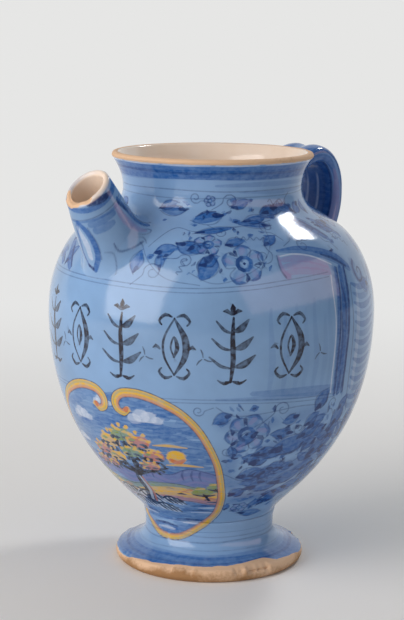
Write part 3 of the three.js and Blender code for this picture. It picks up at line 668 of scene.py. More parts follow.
for index, (x, y, r) in enumerate(crown):
    picture([(x - r * 0.5, y, r * 0.62), (x + r * 0.5, y + 0.5, r * 0.62)],
            ("orange", "orange", "yellow", "green")[index % 4], 0.8, 0.8)
    for turn in np.arange(0.3, 6.2, 0.62):
        reach = r * chance.uniform(0.55, 1.05)
        lean, rise = math.cos(turn) * reach, math.sin(turn) * reach
        picture([(x + lean, y + rise, r * 0.12), (x + lean * 1.3, y + rise * 1.25 - 0.6, r * 0.2)],
                ("orange", "yellow")[int(turn * 10) % 2] if rise > -1 else "dark", 0.85)
    for lean, rise, ink, tone in ((0.1, -0.75, "dark", 0.9), (-0.5, -0.3, "dark", 0.8),
                                  (0.45, -0.2, "dark", 0.7), (-0.2, 0.5, "yellow", 0.9),
                                  (0.5, 0.35, "yellow", 0.8), (-0.55, 0.2, "green", 0.8)):
        picture([(x + r * (lean - 0.3), y + r * rise, r * 0.07), (x + r * lean, y + r * rise * 1.1,
                 r * 0.17), (x + r * (lean + 0.3), y + r * rise, r * 0.06)], ink, tone)
for x, y, n in ((-34, -8, 1.5), (32, -12, 1.4), (-24, -12, 1.0), (40, -7, 1.0)):
    picture([(x, y - 4 * n, 0.7), (x, y, 0.7)], "dark", 0.9)
    for lean, rise in ((-2, 0.6), (2, 1.2), (0, 2.8)):
        picture([(x + lean * n - 0.6, y + rise * n, 1.6 * n),
                 (x + lean * n + 0.6, y + rise * n, 1.5 * n)], "green", 0.8)
    picture([(x - 3.8 * n, y - 0.8, 0.5), (x, y - 1.8, 0.9), (x + 3.6 * n, y - 0.6, 0.5)],
            "dark", 0.85)
    picture([(x - 1.6 * n, y + 3 * n, 0.4), (x + 1.4 * n, y + 3.4 * n, 0.8)], "yellow", 0.85)

# Scrolled frame of the medallion
for side in (1, -1):
    hook = [(10.0, 40.6), (7.4, 38.6), (4.4, 40.0), (3.6, 44.6), (8.0, 48.9)]
    whole = smooth([(side * x, y, 1.0) for x, y in hook + FRAME_SIDE])[:, :2]
    ahead = np.gradient(whole, axis=0)
    ahead /= np.hypot(*ahead.T)[:, None]
    outside = np.column_stack([-ahead[:, 1], ahead[:, 0]]) * side
    taper = np.interp(np.arange(len(whole)) / len(whole), (0, 0.06, 0.22, 0.5, 1),
                      (0.75, 1, 1, 0.74, 0.7))
    for ink, half, tone, shift in (("yellow", 2.2, 1.0, 0.0), ("orange", 0.7, 0.4, -1.3),
                                   ("green", 0.6, 0.3, 1.0), ("orange", 0.35, 0.9, -2.0),
                                   ("dark", 0.3, 0.75, 2.4), ("dark", 0.28, 0.7, -2.4)):
        edge = whole + outside * (shift * taper)[:, None]
        rows = [(x, y, half * w) for (x, y), w in list(zip(edge, taper))[::2]]
        mark(medallion_spot, rows, ink, tone)
    mark(medallion_spot, [(side * 9.2, 40.2, 1.3), (side * 9.8, 41.0, 1.1)], "orange", 0.9)


def outline_loops(stroke):
    """Inner and outer edge of a brush mark as closed rows of unrolled places, and its spine."""
    path, half = stroke["path"], stroke["half"]
    squeeze = (radius_at_run(path[:, 1]) / UNROLL_RADIUS)[:, None]
    level = path * np.hstack([squeeze, np.ones_like(squeeze)])
    ahead = np.gradient(level, axis=0)
    ahead /= np.maximum(np.hypot(*ahead.T), 1e-9)[:, None]
    side = np.column_stack([-ahead[:, 1], ahead[:, 0]])
    loops = []
    thin = half.max() < THIN_HALF
    soft = stroke["soft"]
    for grow in ((soft,) if thin else (-soft, soft)):
        reach = np.maximum(half + grow, 0.04)[:, None]
        cap = [ahead[-1] * reach[-1], -ahead[0] * reach[0]]
        loop = np.vstack([level + side * reach, level[-1:] + cap[0], (level - side * reach)[::-1],
                          level[:1] + cap[1]])
        wide = np.concatenate([squeeze, squeeze[-1:], squeeze[::-1], squeeze[:1]])
        loops.append(loop / np.hstack([wide, np.ones_like(wide)]))
    return loops, path


def covered(unrolled, squeeze, stroke):
    """Which places a brush mark reaches, and how densely it covers each of them."""
    path, half = stroke["path"], stroke["half"]
    soft = stroke["soft"]
    margin = (half.max() + soft) * np.array([1 / squeeze.min(), 1.0])
    near = np.nonzero(np.all((unrolled > path.min(axis=0) - margin)
                             & (unrolled < path.max(axis=0) + margin), axis=1))[0]
    if len(near) == 0:
        return near, np.zeros(0)
    scale = np.column_stack([squeeze[near], np.ones(len(near))])[:, None, :]
    step = (path[1:] - path[:-1])[None] * scale
    offset = (unrolled[near][:, None, :] - path[None, :-1]) * scale
    share = np.clip((step * offset).sum(2) / np.maximum((step * step).sum(2), 1e-9), 0, 1)
    away = np.linalg.norm(offset - share[:, :, None] * step, axis=2)
    width = half[:-1] + (half[1:] - half[:-1]) * share
    nearest = np.argmin(away - width, axis=1)
    pick = (np.arange(len(near)), nearest)
    away, width = away[pick], width[pick]
    if half.max() < THIN_HALF:
        cover = np.clip(1 - away / (width + soft), 0, 1)
    else:
        cover = np.clip((width + soft - away) / (2 * soft), 0, 1)
        cover *= 1 + (stroke["core"] - 1) * np.clip(1 - away / width, 0, 1)
    return near, cover * stroke["density"]


# What share of the inks already there each ink hides
BRIGHT = ("yellow", "orange", "green", "white")
UNDER = {ink: {other: 0.92 for other in INKS if other != ink} for ink in BRIGHT}
UNDER["wash"] = {ink: 0.5 for ink in BRIGHT}
UNDER["plum"] = {ink: 0.7 for ink in BRIGHT}
UNDER["line"] = {ink: 0.9 for ink in BRIGHT}
UNDER["dark"] = {ink: 0.9 for ink in (*BRIGHT, "wash", "plum")}


def painted(unrolled, squeeze, marks, inside):
    """The density of each ink at each place, laid on mark by mark."""
    inks = {ink: np.zeros(len(unrolled)) for ink in INKS}
    for stroke in marks:
        if "clear" in stroke:
            for ink in inks.values():
                ink *= 1 - inside
            continue
        near, cover = covered(unrolled, squeeze, stroke)
        if stroke["clip"] == "inside":
            cover = cover * inside[near]
        for ink, share in UNDER[stroke["ink"]].items():
            inks[ink][near] *= 1 - share * np.clip(cover, 0, 1)
        layer = inks[stroke["ink"]]
        layer[near] = 1 - (1 - layer[near]) * (1 - np.clip(cover, 0, 1))
    return inks


def carried_on(places, inks, share):
    """Adds the jar's own painting to another piece's inks, where its share is above zero."""
    turned = np.arctan2(places[:, 0], -places[:, 1]) - PAINT_TURN
    unrolled = np.column_stack([np.arctan2(np.sin(turned), np.cos(turned)) * UNROLL_RADIUS,
                                np.where(places[:, 2] < BODY_START[1],
                                         places[:, 2] - BODY_START[1],
                                         run_at_height(places[:, 2]))])
    squeeze = np.hypot(places[:, 0], places[:, 1]) / UNROLL_RADIUS
    chosen = np.nonzero(share > 0)[0]
    extra = painted(unrolled[chosen], squeeze[chosen], strokes, in_medallion(unrolled[chosen]))
    for ink, values in extra.items():
        inks[ink][chosen] = 1 - (1 - inks[ink][chosen]) * (1 - values * share[chosen])


def lathe(rows, columns, turn=0.0):
    """Places, normals and faces of rows of (radius, height) turned about the jar's axis."""
    rows = np.array(rows, float)
    angles = np.linspace(-math.pi, math.pi, columns, endpoint=False) + turn
    slope = np.gradient(rows, axis=0)
    slope /= np.maximum(np.hypot(*slope.T), 1e-9)[:, None]
    sine, cosine = np.sin(angles)[None], -np.cos(angles)[None]
    height = np.repeat(rows[:, 1:], columns, axis=1)
    places = np.stack([rows[:, :1] * sine, rows[:, :1] * cosine, height], axis=2)
    lean = np.repeat(-slope[:, :1], columns, axis=1)
    normals = np.stack([slope[:, 1:] * sine, slope[:, 1:] * cosine, lean], axis=2)
    index = np.arange(len(rows) * columns).reshape(len(rows), columns)
    after = np.roll(index, -1, axis=1)
    faces = np.stack([index[:-1], after[:-1], after[1:], index[1:]], axis=2).reshape(-1, 4)
    return places.reshape(-1, 3), normals.reshape(-1, 3), faces.tolist()


def piece(name, places, faces, material, normals=None, layers=None):
    """A closed mesh object from places in mm, with doubled places welded together."""
    keys = np.round(places * WELDS_PER_MM).astype(np.int64)
    first, back = np.unique(keys, axis=0, return_index=True, return_inverse=True)[1:]
    back = back.reshape(-1)
    kept = []
    for face in faces:
        ring = [int(back[i]) for i in face]
        ring = [i for i, before in zip(ring, ring[-1:] + ring[:-1]) if i != before]
        if len(set(ring)) > 2:
            kept.append(ring)
    mesh = bpy.data.meshes.new(name)
    mesh.from_pydata((places[first] / 1000).tolist(), [], kept)
    mesh.shade_smooth()
    for layer, values in (layers or {}).items():
        made = mesh.attributes.new(layer, "FLOAT", "POINT")
        made.data.foreach_set("value", values[first].astype(np.float32))
    if normals is not None:
        mesh.normals_split_custom_set_from_vertices(normals[first].tolist())
    mesh.materials.append(material)
    made = bpy.data.objects.new(name, mesh)
    bpy.context.scene.collection.objects.link(made)
    return made


# Skin of the body, meshed along the edges of the marks with a coarse net between them
run_end = outline_run[-1]
row_count = int(run_end / MESH_STEP)
column_count = int(2 * math.pi * UNROLL_RADIUS / MESH_STEP)
half_width = math.pi * UNROLL_RADIUS
points = []
for row, run in enumerate(np.linspace(0, run_end, row_count + 1)):
    shift = 0.5 if row % 2 and row < row_count else 0.0
    for column in range(column_count + 1):
        u = -half_width + 2 * half_width * column / column_count
        if 0 < column < column_count:
            u += shift * 2 * half_width / column_count
        points.append((u, run))
edges = []
for stroke in strokes:
    if "clear" in stroke:
        continue
    loops, spine = outline_loops(stroke)
    for loop, closed in [(loop, True) for loop in loops] + [(spine, False)]:
        inner = ((np.abs(loop[:, 0]) < half_width - 1) & (loop[:, 1] > 1)
                 & (loop[:, 1] < run_end - 1))
        start = len(points)
        points.extend(map(tuple, loop[inner]))
        kept_rows = np.nonzero(inner)[0]
        for offset, (a, b) in enumerate(zip(kept_rows, kept_rows[1:])):
            if b == a + 1:
                edges.append((start + offset, start + offset + 1))
        if closed and inner.all():
            edges.append((start + len(loop) - 1, start))
skin = delaunay_2d_cdt([Vector(point) for point in points], edges, [], 0, 0.02, False)
unrolled = np.array([tuple(point) for point in skin[0]])
skin_faces = skin[2]

run = unrolled[:, 1]
azimuths = unrolled[:, 0] / UNROLL_RADIUS + PAINT_TURN
radii = radius_at_run(run)
slopes = np.column_stack([np.interp(run, outline_run, outline_slope[:, i]) for i in (0, 1)])
skin_places = np.column_stack([radii * np.sin(azimuths), -radii * np.cos(azimuths),
                               np.interp(run, outline_run, outline[:, 1])])
skin_normals = np.column_stack([slopes[:, 1] * np.sin(azimuths), -slopes[:, 1] * np.cos(azimuths),
                                -slopes[:, 0]])
inks = painted(unrolled, radii / UNROLL_RADIUS, strokes, in_medallion(unrolled))

# Inside, lip and underside
inner_rows = []
inner_slope = outline_slope / np.hypot(*outline_slope.T)[:, None]
for (radius, height), (dr, dz) in zip(outline[::-6], inner_slope[::-6]):
    wall = np.interp(height, (BELLY[1], NECK[1]), (BODY_WALL, NECK_WALL))
    spot = (radius - wall * dz, height + wall * dr)
    if FLOOR_HEIGHT + 6 < spot[1] < LIP_START[1] - 1.5:
        inner_rows.append(spot)
corner = inner_rows[-1]
lip_rows = [LIP_START, (50.35, 209.1), (49.8, 209.75), (49.0, 210.0), (48.1, 210.0),
            (47.2, 209.75), (46.6, 209.1), (46.2, 208.2)]
floor_rows = [(corner[0] * 0.9, FLOOR_HEIGHT + (corner[1] - FLOOR_HEIGHT) * 0.45),
              (corner[0] * 0.75, FLOOR_HEIGHT + 0.8), (corner[0] * 0.5, FLOOR_HEIGHT),
              (0.001, FLOOR_HEIGHT)]
under_rows = [(0.001, JOINT_HEIGHT), (GROOVE_RADIUS, JOINT_HEIGHT), (GROOVE_RADIUS, 26.6),
              (33.0, 26.7), BODY_START]
lip_part = lathe(lip_rows + inner_rows + floor_rows, column_count, PAINT_TURN)
under_part = lathe(under_rows, column_count, PAINT_TURN)
body_places = np.vstack([skin_places, lip_part[0], under_part[0]])
body_normals = np.vstack([skin_normals, lip_part[1], under_part[1] * 0])
lip_start = len(skin_places)
under_start = lip_start + len(lip_part[0])
body_faces = [list(face) for face in skin_faces]
for start, part in ((lip_start, lip_part), (under_start, under_part)):
    body_faces += [[i + start for i in face] for face in part[2]]
rest = len(body_places) - lip_start
body_layers = {ink: np.concatenate([values, np.zeros(rest)]) for ink, values in inks.items()}
inside = np.zeros(len(body_places))
inside[lip_start + column_count * CREAM_LIP_ROW:under_start] = 1.0
body_layers["inside"] = inside
bare = np.zeros(len(body_places))
bare[:lip_start] = np.clip(0.5 + (skin_places[:, 2] - WORN_LIP_HEIGHT) / 2, 0, 1)
lip_wear = np.repeat([0.9, 1, 1, 0.9, 0.7, 0.4, 0.1, 0], column_count)
bare[lip_start:lip_start + len(lip_wear)] = lip_wear
body_layers["clay"] = bare
body_layers["chips_and_shade"] = np.full(len(bare), FRESH_CLAY)


def noise(tree, where, scale, detail):
    return add(tree, "ShaderNodeTexNoise",
               {"Vector": where, "Scale": scale, "Detail": detail}).outputs[0]


def ranged(tree, value, low, high, new_low=0.0, new_high=1.0):
    """A value carried from one range to another and held at its ends."""
    return add(tree, "ShaderNodeMapRange", {
        "Value": value, "From Min": low, "From Max": high,
        "To Min": new_low, "To Max": new_high}).outputs[0]


def mixed(tree, share, first, second):
    return add(tree, "ShaderNodeMixRGB",
               {"Fac": share, "Color1": first, "Color2": second}).outputs[0]


def layered(tree, name):
    """A layer of the mesh, from 0 to 1."""
    return add(tree, "ShaderNodeAttribute", attribute_name=name).outputs["Fac"]


def glazed(name, base=GLAZE, inks=True, worn=False):
    """Glossy tin glaze over buff clay. The mesh gives the inks, and where the clay is bare."""
    material = bpy.data.materials.new(name)
    material.use_nodes = True
    tree = material.node_tree
    tree.nodes.clear()
    where = add(tree, "ShaderNodeTexCoord").outputs["Object"]
    tone = ranged(tree, noise(tree, where, 28.0, 4.0), 0.3, 0.7)
    pale = [min(c * 1.1, 1) for c in linear(base)[:3]] + [1]
    deep = [c * 0.86 for c in linear(base)[:3]] + [1]
    colour = mixed(tree, tone, deep, pale)
    if inks:
        # Washes pool in fine streaks along the brush's way, and lines only in spots
        strand = add(tree, "ShaderNodeMapping", {"Vector": where, "Scale": (260.0, 260.0, 900.0)})
        hair = noise(tree, strand.outputs[0], 1.0, 3.0)
        pool = noise(tree, where, 420.0, 3.0)
        load = ranged(tree, mixed(tree, 0.55, hair, pool), 0.36, 0.64, 0.72, 1.14)
        firm = ranged(tree, pool, 0.35, 0.65, 0.75, 1.2)
        for ink, code in INKS.items():
            strength = firm if ink in ("line", "dark") else load
            share = add(tree, "ShaderNodeMath", {0: layered(tree, ink), 1: strength},
                        operation="MULTIPLY", use_clamp=True)
            colour = mixed(tree, share.outputs[0], colour, linear(code))
        cream = mixed(tree, tone, *[linear(code) for code in INSIDE_GLAZE])
        colour = mixed(tree, layered(tree, "inside"), colour, cream)
    ripple = add(tree, "ShaderNodeBump", {"Height": noise(tree, where, 75.0, 2.0),
                                          "Strength": 0.35, "Distance": 0.00035})
    pits = add(tree, "ShaderNodeBump", {"Height": noise(tree, where, 900.0, 2.0), "Strength": 0.12,
                                        "Distance": 0.0002, "Normal": ripple.outputs[0]})
    surface = add(tree, "ShaderNodeBsdfPrincipled", {
        "Base Color": colour, "Roughness": GLAZE_ROUGHNESS, "IOR": 1.5,
        "Normal": pits.outputs[0]}).outputs[0]
    if worn:
        # Dry buff earthenware, grainy and stained, where the glaze has gone
        pushed = add(tree, "ShaderNodeMath", {0: noise(tree, where, 260.0, 6.0), 1: 0.5,
                                              2: layered(tree, "clay")}, operation="MULTIPLY_ADD")
        bare = ranged(tree, pushed.outputs[0], 0.72, 0.8)
        grain = noise(tree, where, 700.0, 5.0)
        stain_and_shade = noise(tree, where, 34.0, 4.0)
        # The second layer makes the clay lighter at fresh chips and darker towards the foot's
        # bottom, as painted shade.
        for part in (grain, layered(tree, "chips_and_shade")):
            stain_and_shade = add(tree, "ShaderNodeMath", {0: part, 1: 0.25, 2: stain_and_shade},
                        operation="MULTIPLY_ADD").outputs[0]
        buff = mixed(tree, ranged(tree, stain_and_shade, 0.46, 0.68), linear(CLAY_DARK), linear(CLAY))
        rough = add(tree, "ShaderNodeBump", {"Height": grain, "Strength": 0.5,
                                             "Distance": 0.0004})
        clay = add(tree, "ShaderNodeBsdfPrincipled", {
            "Base Color": buff, "Roughness": 0.72, "IOR": 1.45, "Normal": rough.outputs[0]})
        surface = add(tree, "ShaderNodeMixShader", {0: bare, 1: surface,
                                                    2: clay.outputs[0]}).outputs[0]
    add(tree, "ShaderNodeOutputMaterial", {"Surface": surface})
    return material


body = piece("painted_body", body_places, body_faces, glazed("painted glaze", worn=True),
             body_normals, body_layers)
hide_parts("jar_body")
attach(body, "root")


# Pouring spout
# A short tube of the same clay, rolled on a stick and set on over a hole in the shoulder,
# glazed inside and out; its lip has lost glaze and clay where it was knocked in use.
SPOUT_MOUTH = np.array([0.0, -83.5, 197.8])
SPOUT_PITCH = math.radians(59)
SPOUT_LIP_PITCH = math.radians(47)
SPOUT_MOUTH_RADIUS = 11.6
SPOUT_BORE_RADIUS = 8.7
SPOUT_ROOT_RADIUS = 15.8
SPOUT_ROOT_BORE = 10.5
SPOUT_COLUMNS = 176
SPOUT_UNROLL = 13.0
SPOUT_ROWS = 92
BORE_ROWS = 34
BORE_RUN = -5.0
spout_axis = np.array([0.0, -math.cos(SPOUT_PITCH), math.sin(SPOUT_PITCH)])


def clear_of_body(places):
    return np.hypot(places[..., 0], places[..., 1]) - radius_at_height(places[..., 2])


def settled(places, stand_off):
    """Places moved to the nearest spot on the body's glaze, stood off by a distance."""
    moved = np.array(places, float)
    for attempt in range(6):
        slope = radius_at_height(moved[:, 2] + 0.5) - radius_at_height(moved[:, 2] - 0.5)
        steep = np.hypot(1, slope)
        move = (stand_off - clear_of_body(moved) / steep) / steep
        level = np.hypot(moved[:, 0], moved[:, 1])
        moved[:, 0] += move * moved[:, 0] / level
        moved[:, 1] += move * moved[:, 1] / level
        moved[:, 2] -= move * slope
    return moved


axis_steps = np.arange(0, 80, 0.1)
spout_length = axis_steps[np.argmax(
    clear_of_body(SPOUT_MOUTH - axis_steps[:, None] * spout_axis) <= 0)]


def spout_radius(distance):
    return SPOUT_MOUTH_RADIUS + (SPOUT_ROOT_RADIUS - SPOUT_MOUTH_RADIUS) * distance / spout_length


def spout_bore(distance):
    return SPOUT_BORE_RADIUS + (SPOUT_ROOT_BORE - SPOUT_BORE_RADIUS) * distance / spout_length


def spout_places(distance, radius, turn):
    """Places round the spout; turn is 0 on its underside, facing away from the jar."""
    distance, radius, turn = np.broadcast_arrays(distance, radius, turn)
    share = np.clip(distance / (SPOUT_MOUTH_RADIUS * 1.4), 0, 1)
    share = share * share * (3 - 2 * share)
    pitch = SPOUT_LIP_PITCH + (SPOUT_PITCH - SPOUT_LIP_PITCH) * share
    across = np.stack([pitch * 0, np.sin(pitch), np.cos(pitch)], axis=-1)
    side = np.stack([np.sin(turn), turn * 0, turn * 0], axis=-1) - across * np.cos(turn)[..., None]
    return SPOUT_MOUTH - distance[..., None] * spout_axis + side * radius[..., None]


def meeting(place_at, inside, outside):
    """The distance at which a limb's edges come out of the body, found by halving."""
    inside, outside = np.array(inside, float), np.array(outside, float)
    for halving in range(30):
        middle = (inside + outside) / 2
        out = clear_of_body(place_at(middle)) > 0
        outside = np.where(out, middle, outside)
        inside = np.where(out, inside, middle)
    return outside


def grid_faces(rows, columns, looped=True):
    index = np.arange(rows * columns).reshape(rows, columns)
    after = np.roll(index, -1, axis=1)
    above = np.roll(index, -1, axis=0)
    above_after = np.roll(after, -1, axis=0)
    if not looped:
        index, after, above, above_after = (a[:-1] for a in (index, after, above, above_after))
    return np.stack([index, after, above_after, above], axis=2).reshape(-1, 4)


def outward(places, faces):
    """The faces in the order that makes them point out of a closed mesh."""
    a, b, c = (places[faces[:, i]] for i in (0, 1, 2))
    d = places[faces[:, 3]]
    volume = (a * np.cross(b, c)).sum() + (a * np.cross(c, d)).sum()
    return (faces if volume > 0 else faces[:, ::-1]).tolist()


def flat_mark(path, ink, density):
    """A brush mark on a piece's own unrolled skin, in mm across and along it."""
    rows = smooth(path)
    return stroke_of(rows[:, :2], rows[:, 2], ink, density)


turns = np.linspace(-math.pi, math.pi, SPOUT_COLUMNS, endpoint=False)
spout_meet = meeting(lambda d: spout_places(d, spout_radius(d), turns), turns * 0 + 70,
                     turns * 0)
bore_meet = meeting(lambda d: spout_places(d, spout_bore(d), turns), turns * 0 + 70, turns * 0)
spout_wall = SPOUT_MOUTH_RADIUS - SPOUT_BORE_RADIUS
chip = (1.5 * np.exp(-((turns + 0.35) / 0.55) ** 2) + 0.5 * np.exp(-((turns - 0.75) / 0.2) ** 2)
        + 0.25 * np.abs(np.sin(turns * 9)) * np.exp(-((turns + 0.3) / 0.8) ** 2))
grid = []
spout_runs = []
for share in np.linspace(1, 0.03, BORE_ROWS):
    distance = share * (bore_meet + 1.0)
    grid.append(spout_places(distance, spout_bore(distance), turns))
    spout_runs.append(turns * 0 + BORE_RUN)
for depth, radius in ((0.2, 0.12), (0.04, 0.28), (0.0, 0.45), (0.0, 0.6), (0.08, 0.8),
                      (0.3, 0.95)):
    grid.append(spout_places(turns * 0 + spout_wall * depth + chip * (1 - 0.35 * depth),
                             turns * 0 + SPOUT_BORE_RADIUS + spout_wall * radius, turns))
    spout_runs.append(turns * 0 + spout_wall * depth)
for share in np.linspace(0.035, 1, SPOUT_ROWS):
    distance = share * (spout_meet + 0.8)
    lifted = np.maximum(distance, chip * 0.9 + distance * 0.4)
    grid.append(spout_places(lifted, spout_radius(distance) - 0.25 * np.clip(chip - distance, 0, 2),
                             turns))
    spout_runs.append(distance)
spout_mesh = np.array(grid)
spout_run = np.array(spout_runs)
spout_flat = np.stack([np.broadcast_to(turns * SPOUT_UNROLL, spout_run.shape), spout_run], axis=2)
spout_seam = math.pi * SPOUT_UNROLL
spout_marks = [
    flat_mark([(-spout_seam, 3.6, 1.5), (-8, 2.4, 1.3), (0, 2.8, 1.4), (10, 4.4, 1.5),
               (20, 5.0, 1.5), (spout_seam, 3.6, 1.5)], "wash", 0.85),
    flat_mark([(9.5, 1.6, 1.0), (14, 2.3, 1.8), (19, 3.6, 1.6), (23, 3.8, 0.6)], "line", 0.95),
    flat_mark([(-spout_seam, 9.4, 0.35), (0, 9.2, 0.4), (12, 9.3, 0.4), (spout_seam, 9.4, 0.35)],
              "line", 0.6),
    flat_mark([(-spout_seam, 10.4, 0.5), (0, 10.2, 0.7), (20, 10.9, 0.7), (spout_seam, 10.4, 0.5)],
              "wash", 0.6),
]
SPOUT_SIDE_STROKES = (
    ([(7, 12.8, 1.8), (13, 12.6, 2.0), (19, 12.4, 1.5)], "wash", 0.55),
    ([(8.4, 16.4, 1.9), (13, 16.4, 2.0), (16.6, 16.2, 1.4)], "wash", 0.5),
    # The plum strokes, one on each side, are a painted reflection of a pinkish light.
    ([(22.2, 11, 1.6), (22.8, 19, 2.3), (25.4, 26, 2.0), (27.6, 31, 1.0)], "plum", 0.6),
    ([(25.4, 9.4, 1.1), (26.9, 15, 1.5), (29, 23, 1.6), (31, 32, 1.0)], "wash", 0.9),
    ([(24.6, 10, 0.9), (26, 14, 1.0), (27.4, 18, 0.4)], "line", 0.75),
    ([(29, 14, 0.4), (30.8, 23, 0.7), (32.6, 33, 0.5)], "line", 0.6),
    ([(12.9, 25.6, 0.4), (13.4, 30, 0.55), (17, 31.6, 0.4), (22.5, 33, 0.6)], "line", 0.6),
    ([(8, 28, 0.3), (11, 30, 0.5), (9.6, 38, 0.4), (6, 44, 0.5)], "line", 0.5),
)
for side in (1, -1):
    spout_marks += [flat_mark([(side * across, along, half) for across, along, half in rows],
                              ink, tone) for rows, ink, tone in SPOUT_SIDE_STROKES]
spout_marks += [
    # A painted highlight in white, inside the loop of the leaf drawn by the next two marks.
    flat_mark([(-1.6, 14, 1.0), (0.6, 22, 1.9), (0.6, 30, 1.4)], "white", 0.5),
    flat_mark([(-0.6, 10.6, 1.2), (-2.6, 18, 0.9), (-3.6, 28, 0.8), (-2.2, 35, 0.7)], "wash", 0.8),
    flat_mark([(0, 10.6, 1.3), (3.4, 16, 1.5), (5, 23, 1.5), (4.2, 30, 1.5), (1.0, 36.4, 1.5)],
              "wash", 0.9),
    flat_mark([(4.6, 14, 0.4), (6.4, 23, 0.5), (5.6, 31, 0.4)], "line", 0.55),
    flat_mark([(-3, 12, 0.3), (-4.4, 24, 0.4), (-3.4, 34, 0.4)], "line", 0.55),
    flat_mark([(-2, 34.6, 0.8), (0, 36, 1.0)], "line", 1.0),
]


def painted_layers(flat, squeeze, marks):
    count = flat.shape[0] * flat.shape[1]
    return painted(flat.reshape(count, 2), np.broadcast_to(squeeze, flat.shape[:2]).reshape(count),
                   marks, np.zeros(count))


spout_layers = painted_layers(spout_flat, spout_radius(np.maximum(spout_run, 0)) / SPOUT_UNROLL,
                              spout_marks)
within = (spout_run == BORE_RUN).astype(float)
lip_wear = np.clip(1.4 - spout_run / 1.3, 0, 1) * (0.75 + 0.25 * np.cos(turns - 2.4))
spout_layers["inside"] = np.maximum(within, lip_wear).ravel()
clay = np.clip(1.15 - (spout_run - 0.2) / (0.5 + chip[None] * 1.3), 0, 1) * (1 - within)
clay[:BORE_ROWS] = np.clip(0.4 * chip[None] - 0.02 * np.arange(BORE_ROWS)[::-1, None], 0, 0.6)
clay *= np.clip(0.35 + chip[None] * 1.1, 0, 1)
spout_layers["clay"] = clay.ravel()
spout_layers["chips_and_shade"] = np.full(clay.size, FRESH_CLAY)
spout_faces = outward(spout_mesh.reshape(-1, 3), grid_faces(len(grid), SPOUT_COLUMNS))
spout = piece("rolled_spout", spout_mesh.reshape(-1, 3), spout_faces,
              glazed("spout glaze", worn=True), None, spout_layers)
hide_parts("pouring_spout")
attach(spout, "root")


# Spout collar
# A fillet of soft clay smoothed with a finger over the joint of spout and body. The glaze
# covers it, and the painter's strokes run down the spout across it.
COLLAR_RISE = 11.0
COLLAR_SPREADS = (7.0, 4.0)
COVE_STEPS = 34


def fillet(name, limb_at, meet, sense, rise, spread, material, layers_at=None):
    """A closed cove of clay from a limb's edges onto the body, fading out at both ends."""
    corner = limb_at(meet)
    top = limb_at(meet + sense * rise)
    inward = top.mean(axis=0) - top
    top += inward / np.linalg.norm(inward, axis=1)[:, None] * 0.3
    away = settled(corner, 0.0)
    centre = corner.mean(axis=0)
    out = away - centre
    level = np.column_stack([away[:, 0], away[:, 1], away[:, 0] * 0])
    level /= np.hypot(level[:, 0], level[:, 1])[:, None]
    slope = radius_at_height(away[:, 2] + 0.5) - radius_at_height(away[:, 2] - 0.5)
    normal = level - np.array([0, 0, 1]) * slope[:, None]
    normal /= np.linalg.norm(normal, axis=1)[:, None]
    out -= normal * (out * normal).sum(1)[:, None]
    out /= np.linalg.norm(out, axis=1)[:, None]
    foot = settled(away + out * np.array(spread)[:, None], -0.3)
    low_hold = settled(away + out * np.array(spread)[:, None] * 0.3, 0.0)
    top_hold = limb_at(meet + sense * rise * 0.3)
    rows = []
    for t in np.linspace(0, 1, COVE_STEPS + 1):
        rows.append(cubic(t, top, top_hold, low_hold, foot))
    rows.append(settled(away + out * np.array(spread)[:, None] * 0.5, -1.0))
    rows.append(settled(corner + (centre - corner) * 0.12, -1.0))
    rows.append(limb_at(meet + sense * rise * 0.5) * 0.9 + centre * 0.1)
    mesh = np.array(rows)
    faces = outward(mesh.reshape(-1, 3), grid_faces(*mesh.shape[:2]))
    layers = layers_at(mesh) if layers_at else None
    return piece(name, mesh.reshape(-1, 3), faces, material, None, layers)


def collar_layers(mesh):
    step = np.linalg.norm(np.diff(mesh[:COVE_STEPS + 1], axis=0), axis=2)
    start = spout_meet - COLLAR_RISE
    along = np.vstack([start, start + np.cumsum(step, axis=0)])
    along = np.vstack([along] + [along[-1:] + 50] * 3)
    flat = np.stack([np.broadcast_to(turns * SPOUT_UNROLL, along.shape), along], axis=2)
    layers = painted_layers(flat, 1.3, spout_marks)
    layers["inside"] = np.zeros(flat.shape[0] * flat.shape[1])
    share = np.clip((np.arange(len(mesh)) / COVE_STEPS - 0.35) / 0.3, 0, 1)
    share[COVE_STEPS + 1:] = 0
    carried_on(mesh.reshape(-1, 3), layers, np.repeat(share, mesh.shape[1]))
    return layers


collar_spread = np.dot(COLLAR_SPREADS, [(1 - np.cos(turns)) / 2, (1 + np.cos(turns)) / 2])
collar = fillet("spout_collar", lambda d: spout_places(d, spout_radius(d), turns),
                spout_meet, -1, COLLAR_RISE, collar_spread, glazed("collar glaze"), collar_layers)
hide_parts("spout_luting_collar")
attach(collar, "root")


# Strap handle
# A strap pulled wet from a lump of clay, with a groove run down its back by the thumb, bent
# over and pressed on at the neck and the shoulder, then glazed and brushed with cobalt.
HANDLE_ROOT = (42.0, 193.5)
HANDLE_CROWN = (68.1, 205.1)
HANDLE_SIDE = (81.3, 187.6)
HANDLE_BASE = (float(radius_at_height(159.7)) - 8.0, 151.2)
HANDLE_WIDTHS = (25.0, 31.0)
HANDLE_THICKNESSES = (11.0, 9.0)
HANDLE_GROOVE = (3.6, 2.0)
HANDLE_COLUMNS = 104
